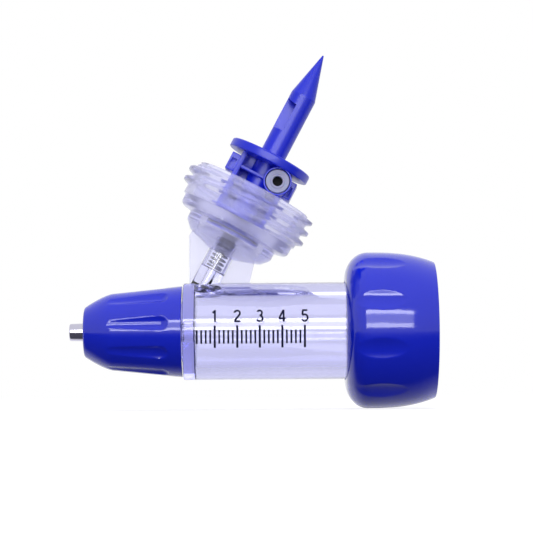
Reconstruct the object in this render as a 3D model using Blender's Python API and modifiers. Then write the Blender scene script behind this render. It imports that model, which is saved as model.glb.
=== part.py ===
"""Barrel and valve head of a 5 ml bottle-mounted automatic syringe, in metres, +Z up.

The barrel lies along X with its nose at -X, and the bottle spike points up and leans
towards the coupling nut. Sizes along the barrel are measured from its front shoulder,
and sizes along the port from the point where its axis meets the barrel's axis.
"""

import math

import bmesh
import bpy

MM = 0.001

# Clearances
SEAT_GAP = 0.3 * MM
RUN_GAP = 0.3 * MM
SEAL_GAP = 0.15 * MM

# Sides of the round pieces
BARREL_SIDES = 48
NUT_SIDES = 36
SMALL_SIDES = 24
TINY_SIDES = 12
FILLET_STEPS = 2

# Barrel
BORE_RADIUS = 8.0 * MM
BARREL_WALL = 2.6 * MM
BARREL_LENGTH = 41.0 * MM
FRONT_WALL = 2.1 * MM
SHOULDER_RISE = 0.4 * MM
SHOULDER_FILLET = 0.3 * MM
NECK_RADIUS = 6.2 * MM
NECK_LENGTH = 13.5 * MM
NECK_CHAMFER = 0.4 * MM
OUTLET_RADIUS = 1.5 * MM
OUTLET_SEAT_DEPTH = 4.2 * MM
OUTLET_CHAMBER_RADIUS = 4.0 * MM

# Port, cup and webs of the barrel moulding
PORT_LEAN = math.radians(28.0)
PORT_FOOT = -1.2 * MM
PORT_ROOT = 9.5 * MM
PORT_RADIUS = 2.9 * MM
INLET_RADIUS = 0.75 * MM
INLET_START = 8.6 * MM
VALVE_CHAMBER_START = 15.2 * MM
VALVE_CHAMBER_RADIUS = 2.15 * MM
FUNNEL_START = 19.3 * MM
FUNNEL_HEIGHT = 1.8 * MM
FUNNEL_RADIUS = 8.6 * MM
LOWER_STEP_RADIUS = 10.3 * MM
LOWER_STEP_TOP = 24.7 * MM
UPPER_STEP_RADIUS = 13.1 * MM
UPPER_STEP_TOP = 27.7 * MM
STEP_FILLET = 1.1 * MM
CUP_RADIUS = 13.6 * MM
CUP_WALL = 1.7 * MM
CUP_RIM = 35.2 * MM
RIM_STEP = 0.4 * MM
RIM_STEP_HEIGHT = 0.7 * MM
POCKET_FLOOR = 23.6 * MM
POCKET_DEPTH = 2.4 * MM
POCKET_RADIUS = 6.45 * MM
WEB_THICKNESS = 1.2 * MM
FRONT_WEB_EDGE = 0.9 * MM
FRONT_WEB_TOP = 21.1 * MM
REAR_WEB_FOOT = 14.1 * MM
REAR_WEB_TOP = 15.5 * MM

# Thread round the cup
THREAD_PITCH = 2.4 * MM
THREAD_CREST_RADIUS = 15.0 * MM
THREAD_ROOT_WIDTH = 1.7 * MM
THREAD_CREST_WIDTH = 0.6 * MM
THREAD_START = 27.85 * MM + THREAD_ROOT_WIDTH / 2
THREAD_TURNS = 2.35
THREAD_START_ANGLE = math.radians(-100.0)

# Nose: luer tip, washer and nut
TIP_RADIUS = 2.0 * MM
TIP_LENGTH = 8.25 * MM
TIP_TAPER = 0.13 * MM
TIP_BORE_RADIUS = 1.0 * MM
TIP_FLANGE_THICKNESS = 2.1 * MM
TIP_SPIGOT_LENGTH = 4.2 * MM
TIP_EDGE = 0.25 * MM
SPRING_POCKET_RADIUS = 2.6 * MM
SPRING_POCKET_FLOOR = 1.2 * MM
WASHER_THICKNESS = 1.0 * MM
WASHER_RADIUS = 5.8 * MM
NOSE_NUT_FRONT_RADIUS = 5.35 * MM
NOSE_NUT_FRONT_WALL = 4.7 * MM
NOSE_NUT_OGIVE = 6.4 * MM
NOSE_NUT_OGIVE_RADIUS = 8.45 * MM
NOSE_NUT_OGIVE_POWER = 1.4
NOSE_NUT_REAR_RADIUS = 10.0 * MM
NOSE_NUT_FILLET = 0.4 * MM
NOSE_NUT_GAP = SHOULDER_RISE + RUN_GAP
FLUTE_COUNT = 9
FLUTE_FIRST_ANGLE = math.radians(10.0)
FLUTE_RADIUS = 2.4 * MM
FLUTE_FRONT_DEPTH = 0.2 * MM
FLUTE_REAR_DEPTH = 0.7 * MM
FLUTE_REAR = 3.8 * MM

# Outlet valve
OUTLET_HEAD_RADIUS = 2.9 * MM
OUTLET_HEAD_THICKNESS = 1.2 * MM
OUTLET_STEM_RADIUS = 1.3 * MM
OUTLET_STEM_LENGTH = 2.6 * MM
OUTLET_SEAL_RADIUS = 2.6 * MM
OUTLET_SEAL_THICKNESS = 0.9 * MM
OUTLET_WIRE = 0.44 * MM
OUTLET_COIL_RADIUS = 1.95 * MM
OUTLET_CURLS = 4

# Inlet valve
INLET_HEAD_RADIUS = 1.8 * MM
INLET_HEAD_THICKNESS = 1.0 * MM
INLET_STEM_RADIUS = 0.9 * MM
INLET_STEM_LENGTH = 2.8 * MM
SEAT_RADIUS = 2.8 * MM
SEAT_THICKNESS = 0.7 * MM
SEAT_HOLE_RADIUS = 0.8 * MM
INLET_WIRE = 0.4 * MM
INLET_COIL_RADIUS = 1.65 * MM
INLET_CURLS = 5
CURL_POINTS = 10

# Bottle spike moulding
PLUG_HEIGHT = 2.3 * MM
SPIKE_RING_SECTION = 0.8 * MM
SPIKE_COLUMN_RADIUS = 3.2 * MM
CAGE_FLOOR = 27.8 * MM
CAGE_FLOOR_THICKNESS = 1.1 * MM
CAGE_FLOOR_RADIUS = 7.2 * MM
POST_ACROSS = 5.4 * MM
POST_DEPTH = 3.8 * MM
POST_WIDTH = 1.1 * MM
FLANGE_BOTTOM = 41.4 * MM
RIB_BELOW_FLANGE = 3.2 * MM
RIB_THICKNESS = 0.7 * MM
LUG_BELOW_FLANGE = 1.1 * MM
LUG_HEIGHT = 4.0 * MM
LUG_OUTER = 7.9 * MM
PANEL_THICKNESS = 1.0 * MM
BACK_WALL_THICKNESS = 0.6 * MM
FLANGE_THICKNESS = 2.0 * MM
FLANGE_RADIUS = 9.45 * MM
FLANGE_FILLET = 0.4 * MM
SHAFT_RADIUS = 2.88 * MM
SHAFT_LENGTH = 15.1 * MM
POINT_LENGTH = 10.2 * MM
POINT_RADIUS = 0.15 * MM
LIQUID_BORE_ACROSS = -1.8 * MM
LIQUID_BORE_DEPTH = -0.7 * MM
LIQUID_BORE_RADIUS = 0.55 * MM
AIR_BORE_ACROSS = 1.0 * MM
AIR_BORE_DEPTH = 0.9 * MM
AIR_BORE_RADIUS = 0.45 * MM
LIQUID_NOTCH_START = 6.1 * MM
LIQUID_NOTCH_LENGTH = 7.6 * MM
NOTCH_EDGE = 0.2 * MM
AIR_NOTCH_START = 1.8 * MM
AIR_NOTCH_LENGTH = 3.0 * MM

# Vent in the spike moulding
VENT_ACROSS = 3.9 * MM
VENT_BELOW_FLANGE = 2.8 * MM
VENT_BOSS_RADIUS = 3.1 * MM
VENT_FRONT = 7.6 * MM
VENT_BACK = 2.6 * MM
VENT_WALL = 0.35 * MM
VENT_VALVE_THICKNESS = 1.6 * MM
VENT_HOLE_RADIUS = 1.1 * MM
FILTER_RADIUS = 1.3 * MM
FILTER_THICKNESS = 1.6 * MM
VENT_PASSAGE_END = 1.6 * MM

# Coupling nut, split ring and gasket
SPLIT_RING_THICKNESS = 0.8 * MM
SPLIT_RING_DEPTH = 0.7 * MM
SPLIT_RING_RADIUS = 12.6 * MM
SPLIT_RING_OPENING = 3.0 * MM
SPLIT_RING_FROM_END = 1.3 * MM
NUT_RADIUS = 17.1 * MM
NUT_LENGTH = 19.6 * MM
NUT_LIP_THICKNESS = 3.4 * MM
NUT_LIP_LAND = 0.3 * MM
NUT_CROWN = 5.0 * MM
NUT_REAR_RADIUS = 14.9 * MM
NUT_TAPER_POWER = 2.7
NUT_CAVITY_RADIUS = 13.9 * MM
NUT_THREAD_DEPTH = 0.8 * MM
NUT_THREAD_PITCH = 2.5 * MM
NUT_THREAD_TURNS = 3.0
NUT_REAR_BORE_RADIUS = 13.1 * MM
NUT_REAR_BAND = 1.2 * MM
SCALLOP_COUNT = 10
SCALLOP_FIRST_ANGLE = math.radians(21.2)
SCALLOP_START = 1.7 * MM
SCALLOP_LENGTH = 11.4 * MM
SCALLOP_WIDTH = 4.4 * MM
SCALLOP_DEPTH = 0.5 * MM
GASKET_THICKNESS = 1.0 * MM
GASKET_BORE_RADIUS = 8.6 * MM

# Piston
PISTON_PARK = 0.5 * MM
PISTON_LENGTH = 8.6 * MM
PISTON_FILLET = 0.5 * MM
PISTON_RING_SECTION = 1.2 * MM
PISTON_RING_SPACING = 3.0 * MM
INSERT_RADIUS = 3.1 * MM
INSERT_LENGTH = 4.6 * MM
INSERT_BORE_RADIUS = 1.9 * MM

# Places that follow from the sizes
BARREL_RADIUS = BORE_RADIUS + BARREL_WALL
RING_GROOVE_WIDTH = SPLIT_RING_THICKNESS + 2 * SEAT_GAP
RING_GROOVE_END = BARREL_LENGTH - SPLIT_RING_FROM_END
RING_GROOVE_START = RING_GROOVE_END - RING_GROOVE_WIDTH
RING_GROOVE_RADIUS = BARREL_RADIUS - SPLIT_RING_DEPTH - SEAT_GAP
SPLIT_RING_FRONT = RING_GROOVE_START + SEAT_GAP
NUT_SHOULDER = SPLIT_RING_FRONT - SEAT_GAP
NUT_FRONT = NUT_SHOULDER - NUT_LIP_THICKNESS
NUT_REAR = NUT_FRONT + NUT_LENGTH
WASHER_REAR = -NECK_LENGTH - SEAT_GAP
WASHER_FRONT = WASHER_REAR - WASHER_THICKNESS
FLANGE_REAR = WASHER_FRONT - SEAT_GAP
FLANGE_FRONT = FLANGE_REAR - TIP_FLANGE_THICKNESS
TIP_FRONT = FLANGE_FRONT - TIP_LENGTH
NOSE_NUT_BORE = NECK_RADIUS + RUN_GAP
NOSE_NUT_SHOULDER = FLANGE_FRONT - SEAT_GAP
NOSE_NUT_FRONT = NOSE_NUT_SHOULDER - NOSE_NUT_FRONT_WALL
SPIGOT_REAR = FLANGE_REAR + TIP_SPIGOT_LENGTH
SPRING_POCKET_END = FLANGE_REAR + SPRING_POCKET_FLOOR
SEAL_REAR = -OUTLET_SEAT_DEPTH - SEAT_GAP
SEAL_FRONT = SEAL_REAR - OUTLET_SEAL_THICKNESS
HEAD_REAR = SEAL_FRONT - SEAT_GAP
HEAD_FRONT = HEAD_REAR - OUTLET_HEAD_THICKNESS
INLET_HEAD_TOP = POCKET_FLOOR
INLET_HEAD_BOTTOM = INLET_HEAD_TOP - INLET_HEAD_THICKNESS
PLUG_BOTTOM = POCKET_FLOOR + SEAT_GAP
PLUG_RADIUS = POCKET_RADIUS - SEAT_GAP
PLUG_TOP = PLUG_BOTTOM + PLUG_HEIGHT
SEAT_BOTTOM = POCKET_FLOOR + SEAT_GAP
SEAT_RECESS_TOP = SEAT_BOTTOM + SEAT_THICKNESS + SEAT_GAP
RIB_HEIGHT = FLANGE_BOTTOM - RIB_BELOW_FLANGE
LUG_TOP = FLANGE_BOTTOM - LUG_BELOW_FLANGE
LUG_BOTTOM = LUG_TOP - LUG_HEIGHT
VENT_HEIGHT = FLANGE_BOTTOM - VENT_BELOW_FLANGE
FLANGE_TOP = FLANGE_BOTTOM + FLANGE_THICKNESS
SHAFT_TOP = FLANGE_TOP + SHAFT_LENGTH
SPIKE_TIP = SHAFT_TOP + POINT_LENGTH
PISTON_FRONT = NUT_FRONT + PISTON_PARK
PISTON_RADIUS = BORE_RADIUS - RUN_GAP
AXIS_HEIGHT = NUT_RADIUS
SHOULDER_X = -(TIP_FRONT + NUT_REAR) / 2
CUT_OVER = 1.0 * MM

# Colours in linear light, roughness and metal
BLUE = ((0.045, 0.052, 0.60), 0.3, 0.0)
CLEAR = ((0.72, 0.72, 0.90), 0.05, 0.0)
CHROME = ((0.62, 0.62, 0.64), 0.15, 1.0)
STEEL = ((0.45, 0.45, 0.47), 0.25, 1.0)
BRASS = ((0.65, 0.45, 0.18), 0.3, 1.0)
RUBBER = ((0.02, 0.02, 0.024), 0.7, 0.0)
SILICONE = ((0.70, 0.72, 0.74), 0.5, 0.0)
ACETAL = ((0.75, 0.75, 0.73), 0.4, 0.0)
CLEAR_ALPHA = 0.35


def clear_scene():
    for obj in list(bpy.data.objects):
        bpy.data.objects.remove(obj, do_unlink=True)


def collection(name):
    made = bpy.data.collections.new(name)
    bpy.context.scene.collection.children.link(made)
    return made


def axis_empty(name, location, lean):
    """An empty whose local Z is the axis that pieces are placed along."""
    empty = bpy.data.objects.new(name, None)
    PARTS.objects.link(empty)
    empty.location = location
    empty.rotation_euler = (0.0, lean, 0.0)
    return empty


def finish(obj, look):
    """Gives a part its own material."""
    colour, roughness, metallic = look
    material = bpy.data.materials.new(obj.name)
    material.use_nodes = True
    shader = material.node_tree.nodes["Principled BSDF"]
    shader.inputs["Base Color"].default_value = (*colour, 1.0)
    shader.inputs["Roughness"].default_value = roughness
    shader.inputs["Metallic"].default_value = metallic
    if look is CLEAR:
        shader.inputs["Alpha"].default_value = CLEAR_ALPHA
    obj.data.materials.append(material)
    return obj


def place(obj, axis, location, cutter):
    obj.parent = axis
    obj.location = location
    (CUTTERS if cutter else PARTS).objects.link(obj)
    if cutter:
        obj.hide_render = True
        obj.display_type = "WIRE"
    return obj


def filleted(corners, steps=FILLET_STEPS):
    """The (along, radius) points of an outline whose corners are (along, radius, fillet)."""
    points = []
    for index, (along, radius, fillet) in enumerate(corners):
        if not fillet:
            points.append((along, radius))
            continue
        before = corners[index - 1]
        after = corners[(index + 1) % len(corners)]
        back = (before[0] - along, before[1] - radius)
        ahead = (after[0] - along, after[1] - radius)
        back_length = math.hypot(*back)
        ahead_length = math.hypot(*ahead)
        back = (back[0] / back_length, back[1] / back_length)
        ahead = (ahead[0] / ahead_length, ahead[1] / ahead_length)
        half = math.acos(back[0] * ahead[0] + back[1] * ahead[1]) / 2
        reach = min(fillet / math.tan(half), 0.45 * back_length, 0.45 * ahead_length)
        middle = (back[0] + ahead[0], back[1] + ahead[1])
        scale = reach / math.cos(half) / math.hypot(*middle)
        centre = (along + middle[0] * scale, radius + middle[1] * scale)
        for step in range(steps + 1):
            share = step / steps
            chord = [(before_side * (1 - share) + after_side * share) * reach
                     for before_side, after_side in zip(back, ahead)]
            spoke = (along + chord[0] - centre[0], radius + chord[1] - centre[1])
            stretch = reach * math.tan(half) / math.hypot(*spoke)
            points.append((centre[0] + spoke[0] * stretch, centre[1] + spoke[1] * stretch))
    return points


def turned(name, outline, sides, axis, at=(0.0, 0.0, 0.0), cutter=False):
    """A solid turned about local Z from (along, radius) points, with a Screw modifier."""
    points = [(radius, along) for along, radius in outline]
    pairs = zip(points, points[1:] + points[:1])
    area = sum(a[0] * b[1] - b[0] * a[1] for a, b in pairs)
    if area > 0:
        points.reverse()
    closed = min(radius for radius, _ in points) > 0.0
    while not closed and not (points[0][0] == 0.0 and points[-1][0] == 0.0):
        points = points[1:] + points[:1]
    edges = [(index, index + 1) for index in range(len(points) - 1)]
    if closed:
        edges.append((len(points) - 1, 0))
    mesh = bpy.data.meshes.new(name)
    mesh.from_pydata([(radius, 0.0, along) for radius, along in points], edges, [])
    obj = bpy.data.objects.new(name, mesh)
    screw = obj.modifiers.new("Turn", "SCREW")
    screw.axis = "Z"
    screw.steps = sides
    screw.render_steps = sides
    screw.use_merge_vertices = True
    screw.merge_threshold = 1e-6
    return place(obj, axis, at, cutter)


def box(name, low, high, axis, cutter=True):
    """A block between two corners in the axis's own frame."""
    mesh = bpy.data.meshes.new(name)
    form = bmesh.new()
    bmesh.ops.create_cube(form, size=1.0)
    size = [b - a for a, b in zip(low, high)]
    middle = [(a + b) / 2 for a, b in zip(low, high)]
    bmesh.ops.scale(form, vec=size, verts=form.verts)
    form.to_mesh(mesh)
    form.free()
    return place(bpy.data.objects.new(name, mesh), axis, middle, cutter)


def rod(name, radius, start, end, axis, sides=TINY_SIDES, cutter=True):
    """A plain cylinder between two points in the axis's own frame."""
    reach = [b - a for a, b in zip(start, end)]
    length = math.sqrt(sum(step * step for step in reach))
    middle = [(a + b) / 2 for a, b in zip(start, end)]
    mesh = bpy.data.meshes.new(name)
    form = bmesh.new()
    bmesh.ops.create_cone(form, cap_ends=True, segments=sides, radius1=radius,
                          radius2=radius, depth=length)
    form.to_mesh(mesh)
    form.free()
    obj = place(bpy.data.objects.new(name, mesh), axis, middle, cutter)
    around = math.atan2(reach[1], reach[0])
    tilt = math.acos(reach[2] / length)
    obj.rotation_euler = (0.0, tilt, around)
    return obj


def plate(name, outline, thickness, axis):
    """A flat plate from (across, up) points, centred on the symmetry plane, as a joinable mesh."""
    curve = bpy.data.curves.new(name, "CURVE")
    curve.dimensions = "2D"
    curve.fill_mode = "BOTH"
    curve.extrude = thickness / 2
    spline = curve.splines.new("POLY")
    spline.points.add(len(outline) - 1)
    for point, (across, up) in zip(spline.points, outline):
        point.co = (across, up, 0.0, 1.0)
    spline.use_cyclic_u = True
    source = bpy.data.objects.new(name, curve)
    CUTTERS.objects.link(source)
    graph = bpy.context.evaluated_depsgraph_get()
    mesh = bpy.data.meshes.new_from_object(source.evaluated_get(graph))
    bpy.data.objects.remove(source)
    form = bmesh.new()
    form.from_mesh(mesh)
    bmesh.ops.remove_doubles(form, verts=form.verts, dist=1e-6)
    bmesh.ops.recalc_face_normals(form, faces=form.faces)
    form.to_mesh(mesh)
    form.free()
    obj = place(bpy.data.objects.new(name, mesh), axis, (0.0, 0.0, 0.0), True)
    obj.rotation_euler = (math.radians(90.0), 0.0, 0.0)
    return obj


def helical_ridge(name, base_radius, crest_radius, root_width, crest_width, pitch, start,
                  turns, first_angle, sides, axis):
    """A thread ridge as one lofted tube whose ends dive below its base surface."""
    sink = 0.3 * MM if crest_radius > base_radius else -0.3 * MM
    run_out = math.radians(40.0)
    last = round(turns * sides)
    mesh = bpy.data.meshes.new(name)
    form = bmesh.new()
    rings = []
    for step in range(last + 1):
        angle = 2 * math.pi * step / sides
        share = min(1.0, angle / run_out, (2 * math.pi * last / sides - angle) / run_out)
        low = base_radius - sink
        high = low + (crest_radius - low) * max(share, 0.35)
        height = start + pitch * angle / (2 * math.pi)
        corners = [(low - sink, -root_width / 2), (high, -crest_width / 2),
                   (high, crest_width / 2), (low - sink, root_width / 2)]
        ring = []
        for radius, along in corners:
            turn = first_angle + angle
            ring.append(form.verts.new((radius * math.cos(turn), radius * math.sin(turn),
                                        height + along)))
        rings.append(ring)
    for ring, following in zip(rings, rings[1:]):
        for corner in range(4):
            beside = (corner + 1) % 4
            form.faces.new((ring[corner], ring[beside], following[beside], following[corner]))
    form.faces.new(rings[0])
    form.faces.new(rings[-1])
    bmesh.ops.recalc_face_normals(form, faces=form.faces)
    form.to_mesh(mesh)
    form.free()
    return place(bpy.data.objects.new(name, mesh), axis, (0.0, 0.0, 0.0), True)


def modify(obj, tool, operation):
    boolean = obj.modifiers.new(tool.name, "BOOLEAN")
    boolean.operation = operation
    boolean.object = tool
    boolean.solver = "EXACT"


def join(obj, tool):
    modify(obj, tool, "UNION")


def cut(obj, tool):
    modify(obj, tool, "DIFFERENCE")


def ring_outline(middle, centre_radius, section, points=8):
    """The round section of an O-ring as (along, radius) points."""
    outline = []
    for step in range(points):
        angle = 2 * math.pi * (step + 0.5) / points
        outline.append((middle + section / 2 * math.cos(angle),
                        centre_radius + section / 2 * math.sin(angle)))
    return outline


def spring(name, coil_radius, wire, start, end, curls, axis):
    """One unbroken wire coil between two seats, with straight axial ends."""
    tail = 1.5 * wire
    foot = start + SEAT_GAP + tail
    head = end - SEAT_GAP - tail
    steps = curls * CURL_POINTS
    points = [(coil_radius, 0.0, start + SEAT_GAP)]
    for step in range(steps + 1):
        angle = 2 * math.pi * step / CURL_POINTS
        points.append((coil_radius * math.cos(angle), coil_radius * math.sin(angle),
                       foot + (head - foot) * step / steps))
    points.append((coil_radius, 0.0, end - SEAT_GAP))
    curve = bpy.data.curves.new(name, "CURVE")
    curve.dimensions = "3D"
    curve.bevel_depth = wire / 2
    curve.bevel_resolution = 1
    curve.use_fill_caps = True
    spline = curve.splines.new("POLY")
    spline.points.add(len(points) - 1)
    for point, place_at in zip(spline.points, points):
        point.co = (*place_at, 1.0)
    obj = bpy.data.objects.new(name, curve)
    obj.parent = axis
    PARTS.objects.link(obj)
    least = least_gap(points, wire)
    print(f"{name}: {curls} curls of {wire / MM:.2f} mm wire, least gap {least / MM:.2f} mm")
    return obj


def least_gap(points, wire):
    """The least distance between stretches of the wire that aren't neighbours, less the wire."""
    apart = CURL_POINTS // 2
    least = math.inf
    for index, point in enumerate(points):
        for other in points[index + apart:]:
            least = min(least, math.dist(point, other))
    return least - wire


def make_barrel():
    """The clear moulding: barrel, neck, port, valve chamber, bottle cup and two webs."""
    barrel = turned("barrel", filleted([
        (-NECK_LENGTH, 0.0, 0.0),
        (-NECK_LENGTH, NECK_RADIUS, NECK_CHAMFER),
        (-SHOULDER_RISE, NECK_RADIUS, 0.0),
        (-SHOULDER_RISE, BARREL_RADIUS, SHOULDER_FILLET),
        (RING_GROOVE_START, BARREL_RADIUS, 0.0),
        (RING_GROOVE_START, RING_GROOVE_RADIUS, 0.0),
        (RING_GROOVE_END, RING_GROOVE_RADIUS, 0.0),
        (RING_GROOVE_END, BARREL_RADIUS, 0.0),
        (BARREL_LENGTH, BARREL_RADIUS, 0.0),
        (BARREL_LENGTH, 0.0, 0.0),
    ]), BARREL_SIDES, BARREL_AXIS)
    port = turned("port_form", filleted([
        (PORT_ROOT, 0.0, 0.0),
        (PORT_ROOT, PORT_RADIUS, 0.0),
        (FUNNEL_START, PORT_RADIUS, 0.0),
        (FUNNEL_START + FUNNEL_HEIGHT, FUNNEL_RADIUS, STEP_FILLET),
        (FUNNEL_START + 2 * FUNNEL_HEIGHT, LOWER_STEP_RADIUS, STEP_FILLET),
        (LOWER_STEP_TOP, LOWER_STEP_RADIUS, 0.0),
        (LOWER_STEP_TOP + STEP_FILLET / 2, UPPER_STEP_RADIUS, STEP_FILLET),
        (UPPER_STEP_TOP, UPPER_STEP_RADIUS, 0.0),
        (UPPER_STEP_TOP, CUP_RADIUS, 0.0),
        (CUP_RIM - RIM_STEP_HEIGHT, CUP_RADIUS, 0.0),
        (CUP_RIM - RIM_STEP_HEIGHT, CUP_RADIUS - RIM_STEP, 0.0),
        (CUP_RIM, CUP_RADIUS - RIM_STEP, 0.0),
        (CUP_RIM, 0.0, 0.0),
    ]), BARREL_SIDES, PORT_AXIS, cutter=True)
    join(barrel, port)
    join(barrel, helical_ridge(
        "cup_thread_form", CUP_RADIUS, THREAD_CREST_RADIUS, THREAD_ROOT_WIDTH,
        THREAD_CREST_WIDTH, THREAD_PITCH, THREAD_START, THREAD_TURNS, THREAD_START_ANGLE,
        BARREL_SIDES, PORT_AXIS))
    for web in make_webs():
        join(barrel, web)
    bore = turned("bore_cutter", [
        (-NECK_LENGTH - CUT_OVER, 0.0),
        (-NECK_LENGTH - CUT_OVER, OUTLET_CHAMBER_RADIUS),
        (-OUTLET_SEAT_DEPTH, OUTLET_CHAMBER_RADIUS),
        (-OUTLET_SEAT_DEPTH, OUTLET_RADIUS),
        (FRONT_WALL, OUTLET_RADIUS),
        (FRONT_WALL, BORE_RADIUS),
        (BARREL_LENGTH + CUT_OVER, BORE_RADIUS),
        (BARREL_LENGTH + CUT_OVER, 0.0),
    ], BARREL_SIDES, BARREL_AXIS, cutter=True)
    cut(barrel, bore)
    cup_bore = CUP_RADIUS - CUP_WALL
    pocket_top = POCKET_FLOOR + POCKET_DEPTH
    inside = turned("port_cutter", [
        (INLET_START, 0.0),
        (INLET_START, INLET_RADIUS),
        (VALVE_CHAMBER_START, INLET_RADIUS),
        (VALVE_CHAMBER_START, VALVE_CHAMBER_RADIUS),
        (POCKET_FLOOR, VALVE_CHAMBER_RADIUS),
        (POCKET_FLOOR, POCKET_RADIUS),
        (pocket_top, POCKET_RADIUS),
        (pocket_top + CUP_WALL, cup_bore),
        (CUP_RIM + CUT_OVER, cup_bore),
        (CUP_RIM + CUT_OVER, 0.0),
    ], BARREL_SIDES, PORT_AXIS, cutter=True)
    cut(barrel, inside)
    return finish(barrel, CLEAR)


def on_port(along, across):
    """A point of the port axis's frame as (barrel position, height over the barrel's axis)."""
    return (PORT_FOOT + along * math.sin(PORT_LEAN) + across * math.cos(PORT_LEAN),
            along * math.cos(PORT_LEAN) - across * math.sin(PORT_LEAN))


def make_webs():
    """The two plates that brace the cup to the barrel, with their inner corners in the moulding."""
    in_wall = BARREL_RADIUS - BARREL_WALL / 2
    in_floor = (FUNNEL_START + FUNNEL_HEIGHT + POCKET_FLOOR) / 2
    in_tube = (PORT_RADIUS + VALVE_CHAMBER_RADIUS) / 2
    front = [
        (FRONT_WEB_EDGE, in_wall),
        (FRONT_WEB_EDGE, FRONT_WEB_TOP),
        on_port(in_floor, -FUNNEL_RADIUS + WEB_THICKNESS / 2),
        on_port(in_floor, -in_tube),
        on_port(PORT_ROOT + WEB_THICKNESS, -in_tube),
    ]
    rear = [
        (REAR_WEB_FOOT, in_wall),
        (REAR_WEB_TOP, on_port(in_floor, FUNNEL_RADIUS - WEB_THICKNESS)[1]),
        on_port(in_floor, in_tube),
        on_port(PORT_ROOT + 2 * WEB_THICKNESS, in_tube),
    ]
    return [plate("front_web_form", front, WEB_THICKNESS, WORLD_AXIS),
            plate("rear_web_form", rear, WEB_THICKNESS, WORLD_AXIS)]


def make_luer_tip():
    spigot_radius = OUTLET_CHAMBER_RADIUS - SEAT_GAP
    tip = turned("luer_tip", filleted([
        (TIP_FRONT, TIP_BORE_RADIUS, 0.0),
        (TIP_FRONT, TIP_RADIUS, TIP_EDGE),
        (FLANGE_FRONT, TIP_RADIUS + TIP_TAPER, 0.0),
        (FLANGE_FRONT, NECK_RADIUS, 0.0),
        (FLANGE_REAR, NECK_RADIUS, 0.0),
        (FLANGE_REAR, spigot_radius, 0.0),
        (SPIGOT_REAR, spigot_radius, 0.0),
        (SPIGOT_REAR, SPRING_POCKET_RADIUS, 0.0),
        (SPRING_POCKET_END, SPRING_POCKET_RADIUS, 0.0),
        (SPRING_POCKET_END, TIP_BORE_RADIUS, 0.0),
    ]), SMALL_SIDES, BARREL_AXIS)
    return finish(tip, CHROME)


def make_tip_washer():
    inner = OUTLET_CHAMBER_RADIUS
    return finish(turned("tip_washer", [
        (WASHER_FRONT, inner), (WASHER_FRONT, WASHER_RADIUS),
        (WASHER_REAR, WASHER_RADIUS), (WASHER_REAR, inner),
    ], SMALL_SIDES, BARREL_AXIS), RUBBER)


def nose_nut_ogive():
    """The rounded front of the nose nut, from its front face to the straight cone."""
    points = []
    rise = NOSE_NUT_OGIVE_RADIUS - NOSE_NUT_FRONT_RADIUS
    steps = 5
    for step in range(steps + 1):
        share = step / steps
        along = NOSE_NUT_FRONT + NOSE_NUT_OGIVE * share
        radius = NOSE_NUT_FRONT_RADIUS + rise * (1 - (1 - share) ** NOSE_NUT_OGIVE_POWER)
        points.append((along, radius, NOSE_NUT_FILLET if step == 0 else 0.0))
    return points


def make_nose_nut():
    nut = turned("nose_nut", filleted([
        (NOSE_NUT_FRONT, TIP_RADIUS + TIP_TAPER + RUN_GAP, 0.0),
        *nose_nut_ogive(),
        (-NOSE_NUT_GAP, NOSE_NUT_REAR_RADIUS, NOSE_NUT_FILLET),
        (-NOSE_NUT_GAP, NOSE_NUT_BORE, 0.0),
        (NOSE_NUT_SHOULDER, NOSE_NUT_BORE, 0.0),
        (NOSE_NUT_SHOULDER, TIP_RADIUS + TIP_TAPER + RUN_GAP, 0.0),
    ]), NUT_SIDES, BARREL_AXIS)
    cone_front = NOSE_NUT_FRONT + NOSE_NUT_OGIVE
    slope = (NOSE_NUT_REAR_RADIUS - NOSE_NUT_OGIVE_RADIUS) / (-NOSE_NUT_GAP - cone_front)
    mouth = math.sqrt(2 * FLUTE_RADIUS * FLUTE_REAR_DEPTH - FLUTE_REAR_DEPTH ** 2)
    rear = -FLUTE_REAR - mouth
    rear_floor = NOSE_NUT_OGIVE_RADIUS + slope * (rear - cone_front) - FLUTE_REAR_DEPTH
    front_floor = NOSE_NUT_OGIVE_RADIUS - FLUTE_FRONT_DEPTH
    tilt = math.atan2(rear_floor - front_floor, rear - cone_front)
    middle = (rear + cone_front) / 2
    middle_radius = (rear_floor + front_floor) / 2 + FLUTE_RADIUS
    half = (rear - cone_front) / 2
    reach = half + NOSE_NUT_OGIVE
    outline = [(-reach, 0.0), (-reach, FLUTE_RADIUS), (half, FLUTE_RADIUS)]
    steps = 5
    for step in range(1, steps + 1):
        angle = math.pi / 2 * step / steps
        radius = FLUTE_RADIUS * math.cos(angle) if step < steps else 0.0
        outline.append((half + FLUTE_RADIUS * math.sin(angle), radius))
    for index in range(FLUTE_COUNT):
        angle = FLUTE_FIRST_ANGLE + 2 * math.pi * index / FLUTE_COUNT
        across = -math.sin(angle)
        depth = -math.cos(angle)
        at = (middle_radius * across, middle_radius * depth, middle)
        flute = turned(f"flute_{index + 1}_cutter", outline, TINY_SIDES, BARREL_AXIS, at, cutter=True)
        flute.rotation_euler = (0.0, tilt, math.atan2(depth, across))
        cut(nut, flute)
    return finish(nut, BLUE)


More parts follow.
